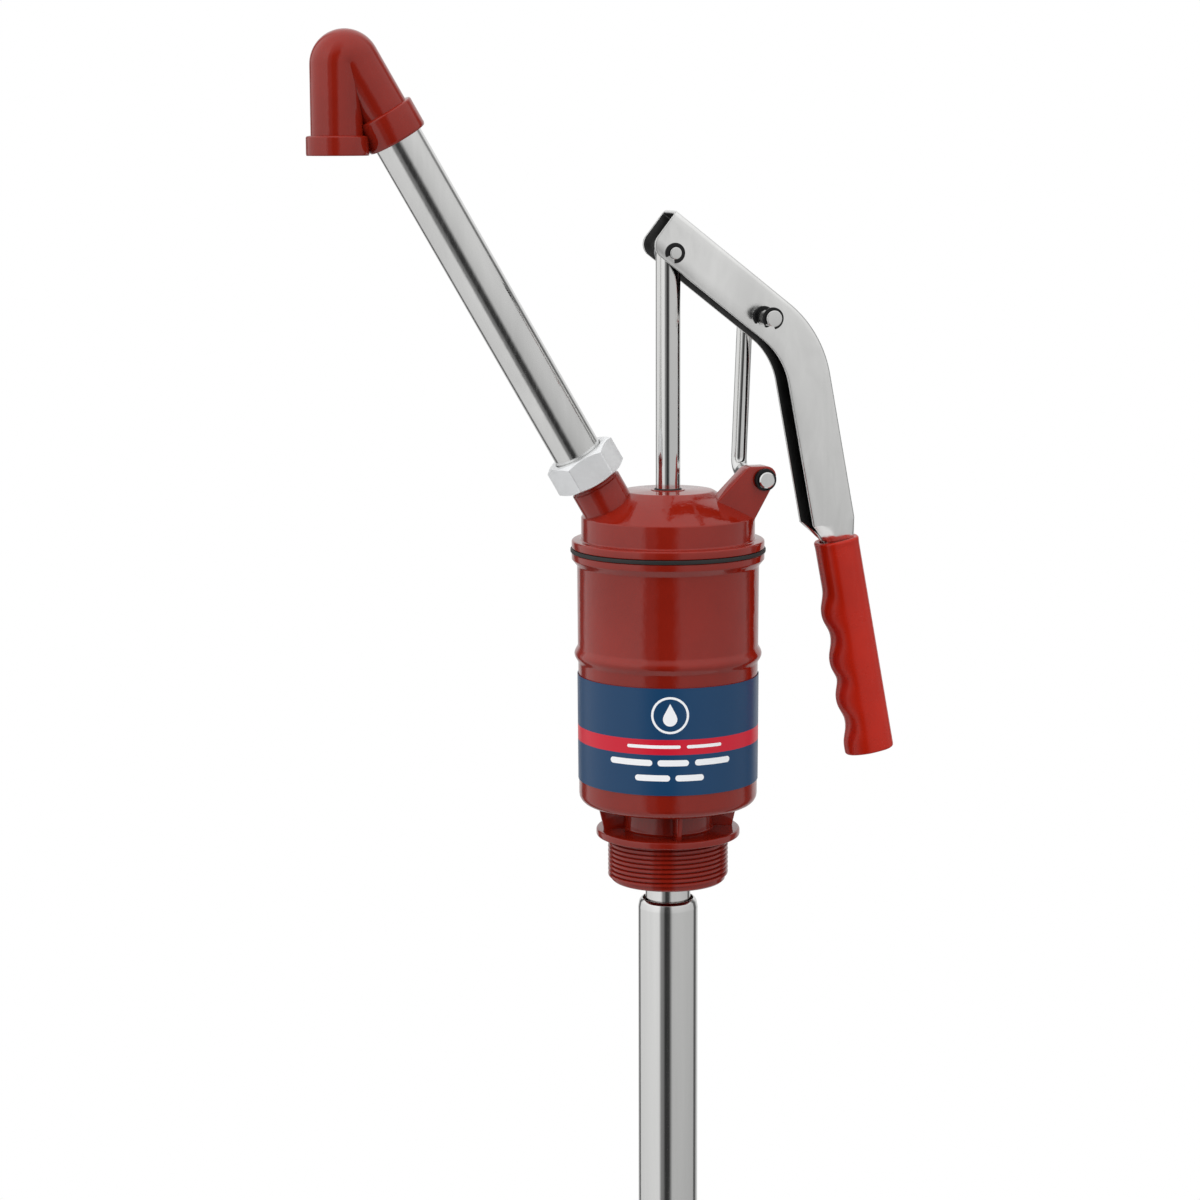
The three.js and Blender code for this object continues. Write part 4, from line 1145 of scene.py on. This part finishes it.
class DRUMPUMP_OT_grip(Operator):
    """Moulds the grip: a rounded bar with bumps between the fingers and a hollow top"""
    bl_idname = "drumpump.grip"
    bl_label = "Grip"

    def execute(self, context):
        lever = context.scene.drum_pump.lever
        down, inward = along_arm(LOWER_SLOPE), into_arm(LOWER_SLOPE)
        half_depth = lever.grip_depth / 2
        middle = BEND_CORNER + inward * (half_depth - lever.grip_proud + 0.1 * MM)
        start, end = lever.grip_top, lever.grip_bottom
        deep, wide, rounding = half_depth / MM, lever.grip_half_width / MM, 8.5
        section = eased([(x, y, rounding) for x, y in (
            (-deep, -wide), (deep, -wide), (deep, wide), (-deep, wide))], True)
        ring = [middle + down * start + inward * p.x * MM + ACROSS * p.y * MM for p in section]
        piece = draw_line("lever_grip", ring + [ring[0]])
        weld()
        crown, steps = 0.9 * MM, 44
        for _ in range(steps):
            extrude(down * (end - crown - start) / steps)
        bpy.ops.mesh.edge_face_add()
        bpy.ops.mesh.inset(thickness=3.2 * MM, depth=0.4 * MM)

        def depth_in(vert):
            return (vert.co - middle).dot(inward)

        for bump in FINGER_BUMPS:
            spread_of_bump, top_of_bump = 10.5 * MM, 3.2 * MM
            place = middle + down * bump * MM + inward * half_depth
            choose(lambda vert: (vert.co - place).length < top_of_bump
                   and depth_in(vert) > half_depth * 0.9)
            bpy.ops.transform.translate(value=inward * lever.bump, use_proportional_edit=True,
                                        proportional_edit_falloff='SMOOTH',
                                        proportional_size=spread_of_bump)
        choose(lambda vert: abs((vert.co - middle).dot(down) - start) < 1e-5)
        mouth = middle + down * start
        bpy.ops.transform.resize(value=(1.03, 1.05, 1.03), center_override=mouth)
        bpy.ops.mesh.select_mode(type='EDGE')
        for move, scale in ((-down * 0.5 * MM, (0.93, 0.9, 0.93)), (Vector(), (0.80, 0.76, 0.80))):
            extrude(move)
            bpy.ops.transform.resize(value=scale, center_override=mouth)
        hollow = 9 * MM
        extrude(down * hollow)
        bpy.ops.mesh.edge_face_add()
        end_edit()
        soften(piece, 1.4, angle=50, segments=3)
        apply_modifier(piece, 'SUBSURF', levels=1, render_levels=1)
        finished(piece, "grip_vinyl", "lever", "lever_grip", angle=60)
        return {'FINISHED'}


# ---------------------------------------------------------------- rod, pin, link and clips

class DRUMPUMP_OT_piston_rod(Operator):
    """Turns the piston rod with its stepped foot and chamfered top"""
    bl_idname = "drumpump.piston_rod"
    bl_label = "Piston rod"

    def execute(self, context):
        radius = context.scene.drum_pump.links.rod / MM
        foot, bolt, shoulder, top = 105.5, 4.2, 125.5, 294.0
        piece = turned("piston_rod", [
            (0, foot), (bolt, foot, 0.4), (bolt, shoulder), (radius, shoulder, 0.3),
            (radius, top - 3.6, 1.2), (radius - 2.4, top, 1.6), (0, top)], facets=64, closed=False)
        finished(piece, "chrome", "plunger", "piston_rod")
        return {'FINISHED'}


def cross_turned(name, pivot, corners, facets=48, closed=False):
    """A piece turned about an axis across the pump: corners are [radius, place across]."""
    return turned(name, corners, pivot, ACROSS, facets, closed)


class DRUMPUMP_OT_rod_pin(Operator):
    """Turns the rod's pin with a groove near each end"""
    bl_idname = "drumpump.rod_pin"
    bl_label = "Rod pin"

    def execute(self, context):
        radius = context.scene.drum_pump.links.pin / MM
        end, groove, floor = 12.9, 10.7, radius - 0.4
        piece = cross_turned("rod_pin", ROD_PIVOT, [
            (0, -end), (radius, -end, 0.5), (radius, -groove - 1.2), (floor, -groove - 1.2),
            (floor, -groove), (radius, -groove), (radius, groove), (floor, groove),
            (floor, groove + 1.2), (radius, groove + 1.2), (radius, end, 0.5), (0, end)])
        finished(piece, "chrome", "lever", "rod_pin")
        bore, outer, spacer_in, spacer_out = 3.0, 5.0, 6.2, 8.35
        front = cross_turned("rod_spacer_front", ROD_PIVOT, [
            (bore, -spacer_out), (outer, -spacer_out, 0.3), (outer, -spacer_in, 0.3),
            (bore, -spacer_in)], closed=True)
        back = copied(front, "rod_spacer_back", move=ACROSS * (spacer_in + spacer_out) * MM)
        finished(front, "steel", "lever", "rod_spacer_front")
        finished(back, "steel", "lever", "rod_spacer_back")
        return {'FINISHED'}


def grooved_end(tip, radius):
    """Outline of a rod's end at the front: chamfered, with a groove for a clip."""
    floor = radius - 0.6
    return [(0, -tip), (radius, -tip, 0.5), (radius, -tip + 1.8), (floor, -tip + 1.8),
            (floor, -tip + 3.1), (radius, -tip + 3.1)]


class DRUMPUMP_OT_link(Operator):
    """Bends the link: an upper leg through the lever, a run behind it and a leg through the lug"""
    bl_idname = "drumpump.link"
    bl_label = "Link"

    def execute(self, context):
        links = context.scene.drum_pump.links
        radius, tip = links.link / MM, links.link_tip / MM
        floor, wall_groove, leg_end = radius - 0.6, -10.7, 10.8
        leg = cross_turned("link_upper_leg", LINK_PIVOT, [
            *grooved_end(tip, radius), (radius, wall_groove - 1.3), (floor, wall_groove - 1.3),
            (floor, wall_groove), (radius, wall_groove), (radius, leg_end, 0.2), (0, leg_end)])
        finished(leg, "chrome", "lever", "link_upper_leg")

        bend_high, bend_low = 5.3 * MM, 7.5 * MM
        back = ACROSS * links.link_back
        run = (LUG_PIVOT - LINK_PIVOT).normalized()
        bend_axis = ACROSS.cross(run)
        piece = begin("link_rod", bpy.ops.mesh.primitive_circle_add, vertices=32, radius=links.link,
                      location=LINK_PIVOT + back - ACROSS * bend_high, rotation=(math.pi / 2, 0, 0))
        bpy.ops.mesh.select_mode(type='EDGE')
        revolve(12, math.pi / 2, LINK_PIVOT + back + (run - ACROSS) * bend_high, bend_axis)
        extrude(LUG_PIVOT - LINK_PIVOT - run * (bend_high + bend_low))
        revolve(12, math.pi / 2, LUG_PIVOT + back - (run + ACROSS) * bend_low, bend_axis)
        stations = [(-tip + 3.1, radius), (-tip + 3.1, floor), (-tip + 1.8, floor),
                    (-tip + 1.8, radius), (-tip + 0.5, radius), (-tip, radius - 0.5)]
        here, width = (links.link_back - bend_low) / MM, radius
        for there, size in stations:
            extrude(ACROSS * (there - here) * MM)
            scale = size / width
            bpy.ops.transform.resize(value=(scale, 1, scale),
                                     center_override=LUG_PIVOT + ACROSS * there * MM)
            here, width = there, size
        cap_ends()
        end_edit()
        finished(piece, "chrome", "link", "link_rod")
        return {'FINISHED'}


def snap_ring(pivot, inner, outer, near, far, mouth):
    """A spring clip: a flat ring, open towards its mouth's angle."""
    gap = 64
    corners = [(inner, near, 0.15), (outer, near, 0.25), (outer, far, 0.25), (inner, far, 0.15)]
    return turned("clip", corners, pivot, ACROSS, 44, True, 360 - gap, gap / 2 - mouth)


class DRUMPUMP_OT_clips(Operator):
    """Makes the spring clips on the pins, and the washer at the lug"""
    bl_idname = "drumpump.clips"
    bl_label = "Clips"

    def execute(self, context):
        links = context.scene.drum_pump.links
        pin_floor, link_floor = links.pin / MM - 0.3, links.link / MM - 0.5
        near, far, tip = 10.8, 11.8, links.link_tip / MM
        front = snap_ring(ROD_PIVOT, pin_floor, 4.9, -far, -near, 235)
        back = copied(front, "clip", move=ACROSS * (near + far) * MM)
        end_near, end_far, wall_near = -tip + 3.0, -tip + 1.9, -10.8
        end = snap_ring(LINK_PIVOT, link_floor, 5.3, end_far, end_near, 250)
        wall = copied(end, "clip", move=ACROSS * (wall_near - end_near) * MM)
        lug = copied(end, "clip", move=LUG_PIVOT - LINK_PIVOT)
        bore, outer, washer_near, washer_far = 4.05, 5.4, -tip + 3.2, -22.2
        washer = cross_turned("lug_washer", LUG_PIVOT, [
            (bore, washer_near), (outer, washer_near, 0.2), (outer, washer_far, 0.2),
            (bore, washer_far)], closed=True)
        for piece, body, name in (
                (front, "lever", "rod_pin_clip_front"), (back, "lever", "rod_pin_clip_back"),
                (end, "lever", "link_clip_end"), (wall, "lever", "link_clip_wall"),
                (lug, "link", "lug_clip"), (washer, "link", "lug_washer")):
            finished(piece, "black_oxide", body, name)
        return {'FINISHED'}


# ---------------------------------------------------------------- suction tube

class DRUMPUMP_OT_suction(Operator):
    """Makes the two suction tubes, the outer with its top rolled in, and the inlet foot"""
    bl_idname = "drumpump.suction"
    bl_label = "Suction tubes"

    def execute(self, context):
        links = context.scene.drum_pump.links
        inner, outer = links.inner / MM, links.outer / MM
        top, bottom = -links.outer_top / MM, -links.outer_bottom / MM
        inner_bore, inner_bottom, inner_top = 9.4, -478, -3
        inner_tube = turned("suction_tube_inner", [
            (inner_bore, inner_bottom, 0.3), (inner, inner_bottom, 0.5), (inner, inner_top, 0.3),
            (inner_bore, inner_top, 0.3)], facets=80)
        finished(inner_tube, "chrome", "housing", "suction_tube_inner")
        bore, neck = 13.3, 12.6
        outer_tube = turned("suction_tube_outer", [
            (bore, bottom), (outer, bottom, 0.3), (outer, top - 4.5, 3),
            (outer - 0.6, top - 1.4, 1.2), (neck + 0.6, top, 0.5), (neck, top, 0.25),
            (neck, top - 1.5, 0.3), (bore, top - 4.5, 1)], facets=96)
        finished(outer_tube, "chrome", "outer_tube", "suction_tube_outer")
        mouth, plug, foot_low, foot_high, rim = 10, 13.1, bottom - 8, bottom + 12, bottom - 0.3
        foot = turned("inlet_foot", [
            (mouth, foot_low), (outer - 0.3, foot_low, 2.2), (outer, rim, 0.5), (plug, rim),
            (plug, foot_high, 0.6), (mouth, foot_high)], facets=96)
        slot_size, slot_corner = (40, 6, 5), 1.2
        for turn in (0, 90):
            slot = begin("slot", bpy.ops.mesh.primitive_cube_add, size=MM,
                         location=(0, 0, (foot_low + 1.5) * MM), scale=slot_size,
                         rotation=(0, 0, math.radians(turn)))
            bpy.ops.mesh.bevel(offset=slot_corner * MM, segments=3)
            end_edit()
            combine(foot, slot, 'DIFFERENCE')
        finished(foot, "nylon", "outer_tube", "inlet_foot")
        return {'FINISHED'}


class DRUMPUMP_OT_inner_pieces(Operator):
    """Gives the pieces inside the pump their finishes"""
    bl_idname = "drumpump.inner_pieces"
    bl_label = "Inner pieces"

    def execute(self, context):
        colours = context.scene.drum_pump.colours
        for name, finish in INNER_PIECES.items():
            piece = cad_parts[name]
            piece.data.materials.clear()
            piece.data.materials.append(FINISHES[finish](colours))
        return {'FINISHED'}


INNER_PIECES = {
    "gland_bush": "brass",
    "rod_seal": "black_rubber",
    "foot_valve_seat": "brass",
    "foot_valve_cage": "steel",
    "foot_valve_disc": "black_rubber",
    "spout_seal": "black_rubber",
    "spout_ferrule": "brass",
    "inner_tube_seal": "nylon",
    "outer_tube_bush": "nylon",
    "piston_body": "brass",
    "piston_seal": "black_rubber",
    "piston_nut": "zinc_plate",
    "piston_valve_stop": "steel",
    "piston_valve_disc": "black_rubber",
}

# ---------------------------------------------------------------- stage

# Brightness of the studio seen in reflections, by angle round from the camera in degrees:
# soft boxes to the left and right, with the dark gaps between them.
SURROUND = ((-180, 0.80), (-156, 0.72), (-149, 0.10), (-139, 0.12), (-131, 0.84), (-36, 0.92),
            (-28, 0.27), (-19, 0.24), (-12, 0.04), (4, 0.05), (9, 0.25), (16, 0.62), (60, 0.62),
            (114, 0.58), (121, 0.10), (133, 0.14), (146, 0.75), (180, 0.80))


def surroundings(azimuth):
    """White behind the pump, and soft boxes round it for its bright metal to reflect."""
    world = bpy.data.worlds.new("studio")
    world.use_nodes = True
    tree = world.node_tree
    direction = tree.nodes.new('ShaderNodeTexCoord').outputs['Generated']
    parts = node(tree, 'ShaderNodeSeparateXYZ', Vector=direction)
    turned_by = reckon(tree, 'SUBTRACT', angle_round(tree, parts), azimuth)
    round_from = reckon(tree, 'WRAP', turned_by, math.pi, -math.pi)
    share = node(tree, 'ShaderNodeMapRange', Value=round_from, From_Min=-math.pi, From_Max=math.pi)
    ramp = node(tree, 'ShaderNodeValToRGB', Fac=share.outputs[0])
    stops = ramp.color_ramp.elements
    while len(stops) < len(SURROUND):
        stops.new(0.5)
    for stop, (degrees, brightness) in zip(stops, SURROUND):
        stop.position = (degrees + 180) / 360
        stop.color = (brightness, brightness, brightness, 1.0)
    rise = spread(tree, parts.outputs[2], 0.80, 1.25, -0.45, 0.60)
    lifted = node(tree, 'ShaderNodeMix', {'data_type': 'RGBA', 'blend_type': 'MULTIPLY'},
                  i0=1.0, i6=ramp.outputs[0], i7=rise).outputs[2]
    overhead = spread(tree, parts.outputs[2], 0.0, 1.0, 0.35, 0.95)
    with_top = blend_colours(tree, overhead, lifted, (0.90, 0.90, 0.90, 1.0))
    seen = tree.nodes.new('ShaderNodeLightPath').outputs['Is Camera Ray']
    shown = blend_colours(tree, seen, with_top, (1.0, 1.0, 1.0, 1.0))
    tree.links.new(shown, tree.nodes['Background'].inputs['Color'])
    return world


# Soft lights: degrees round from the camera, height, distance, size and power.
LIGHTS = {
    "light_left": (-48, 0.9, 1.7, (0.9, 1.6), 14),
    "light_right": (52, 0.7, 1.8, (0.7, 1.6), 11),
    "light_top": (0, 1.9, 0.5, (1.6, 1.2), 12),
}
LIT_PLACE = Vector((0, 0, 0.12))
VIEWED_PLACE = Vector((-31.95, 9.40, 117.3)) * MM


def area_light(name, azimuth, height, distance, size, power):
    angle = math.radians(azimuth)
    place = Vector((math.sin(angle) * distance, -math.cos(angle) * distance, height))
    bpy.ops.object.select_all(action='DESELECT')
    bpy.ops.object.light_add(type='AREA', location=place)
    light = bpy.context.active_object
    light.name = name
    light.data.shape = 'RECTANGLE'
    light.data.size, light.data.size_y = size
    light.data.energy = power
    light.visible_glossy = False
    aim = LIT_PLACE - place
    light.rotation_euler = aim.to_track_quat('-Z', 'Y').to_euler()


class DRUMPUMP_OT_stage(Operator):
    """Sets the pale floor, the soft light and the camera"""
    bl_idname = "drumpump.stage"
    bl_label = "Stage"

    def execute(self, context):
        scene = context.scene
        studio = scene.drum_pump.studio
        white = bpy.data.materials.new("studio_floor")
        white.use_nodes = True
        tree = white.node_tree
        shader = tree.nodes['Principled BSDF']
        set_shader(shader, Base_Color=(*scene.drum_pump.colours.floor, 1.0), Roughness=0.9,
                   Specular_IOR_Level=0.0)
        shader.inputs['Emission Color'].default_value = (1.0, 1.0, 1.0, 1.0)
        tree.links.new(tree.nodes.new('ShaderNodeLightPath').outputs['Is Camera Ray'],
                       shader.inputs['Emission Strength'])
        draw_out, clearance = 0.36, 0.002
        floor_height = CAD_BOX[0][2] - draw_out - clearance
        floor = begin("studio_floor", bpy.ops.mesh.primitive_circle_add, vertices=96, radius=0.75,
                      fill_type='NGON', location=(0, 0, floor_height))
        bpy.ops.object.mode_set(mode='OBJECT')
        floor.data.materials.append(white)
        scene.world = surroundings(studio.azimuth)
        camera_side = math.degrees(studio.azimuth)
        for name, (aside, *settings) in LIGHTS.items():
            area_light(name, camera_side + aside, *settings)

        azimuth, elevation = studio.azimuth, studio.elevation
        back = Vector((math.sin(azimuth) * math.cos(elevation),
                       -math.cos(azimuth) * math.cos(elevation), math.sin(elevation)))
        bpy.ops.object.select_all(action='DESELECT')
        bpy.ops.object.camera_add(location=VIEWED_PLACE + back * studio.distance)
        camera = context.active_object
        camera.name = "camera"
        turn = (-back).to_track_quat('-Z', 'Y').to_matrix()
        camera.rotation_euler = (turn @ Matrix.Rotation(studio.roll, 3, 'Z')).to_euler()
        camera.data.lens = studio.lens
        camera.data.sensor_width = 36
        camera.data.clip_start = 0.01
        scene.camera = camera
        scene.view_settings.view_transform = 'Standard'
        scene.view_settings.look = 'None'
        return {'FINISHED'}


# ---------------------------------------------------------------- panel and registration

PIECES = (
    DRUMPUMP_OT_stage, DRUMPUMP_OT_barrel, DRUMPUMP_OT_neck, DRUMPUMP_OT_label,
    DRUMPUMP_OT_gasket, DRUMPUMP_OT_head, DRUMPUMP_OT_wiper, DRUMPUMP_OT_union_nut,
    DRUMPUMP_OT_discharge_tube, DRUMPUMP_OT_elbow, DRUMPUMP_OT_lever, DRUMPUMP_OT_grip,
    DRUMPUMP_OT_piston_rod, DRUMPUMP_OT_rod_pin, DRUMPUMP_OT_link, DRUMPUMP_OT_clips,
    DRUMPUMP_OT_suction, DRUMPUMP_OT_inner_pieces,
)


class DRUMPUMP_PT_panel(Panel):
    """Lists the pump's pieces"""
    bl_label = "Drum Pump"
    bl_idname = "DRUMPUMP_PT_panel"
    bl_space_type = 'VIEW_3D'
    bl_region_type = 'UI'
    bl_category = "Drum Pump"

    def draw(self, context):
        for piece in PIECES:
            self.layout.operator(piece.bl_idname)
        for name in ("colours", "barrel", "head", "spout", "lever", "links", "studio"):
            group = getattr(context.scene.drum_pump, name)
            box = self.layout.box()
            box.label(text=name.capitalize())
            for key in group.bl_rna.properties.keys():
                if key not in ("rna_type", "name"):
                    box.prop(group, key)


CLASSES = (
    DRUMPUMP_PG_colours, DRUMPUMP_PG_barrel, DRUMPUMP_PG_head, DRUMPUMP_PG_spout,
    DRUMPUMP_PG_lever, DRUMPUMP_PG_links, DRUMPUMP_PG_studio, DRUMPUMP_PG_settings,
    *PIECES, DRUMPUMP_PT_panel,
)


def register():
    for item in CLASSES:
        bpy.utils.register_class(item)
    bpy.types.Scene.drum_pump = PointerProperty(type=DRUMPUMP_PG_settings)


def unregister():
    del bpy.types.Scene.drum_pump
    for item in reversed(CLASSES):
        bpy.utils.unregister_class(item)


def main():
    register()
    for piece in PIECES:
        area, name = piece.bl_idname.split(".")
        getattr(getattr(bpy.ops, area), name)()


if __name__ == "__main__":
    main()
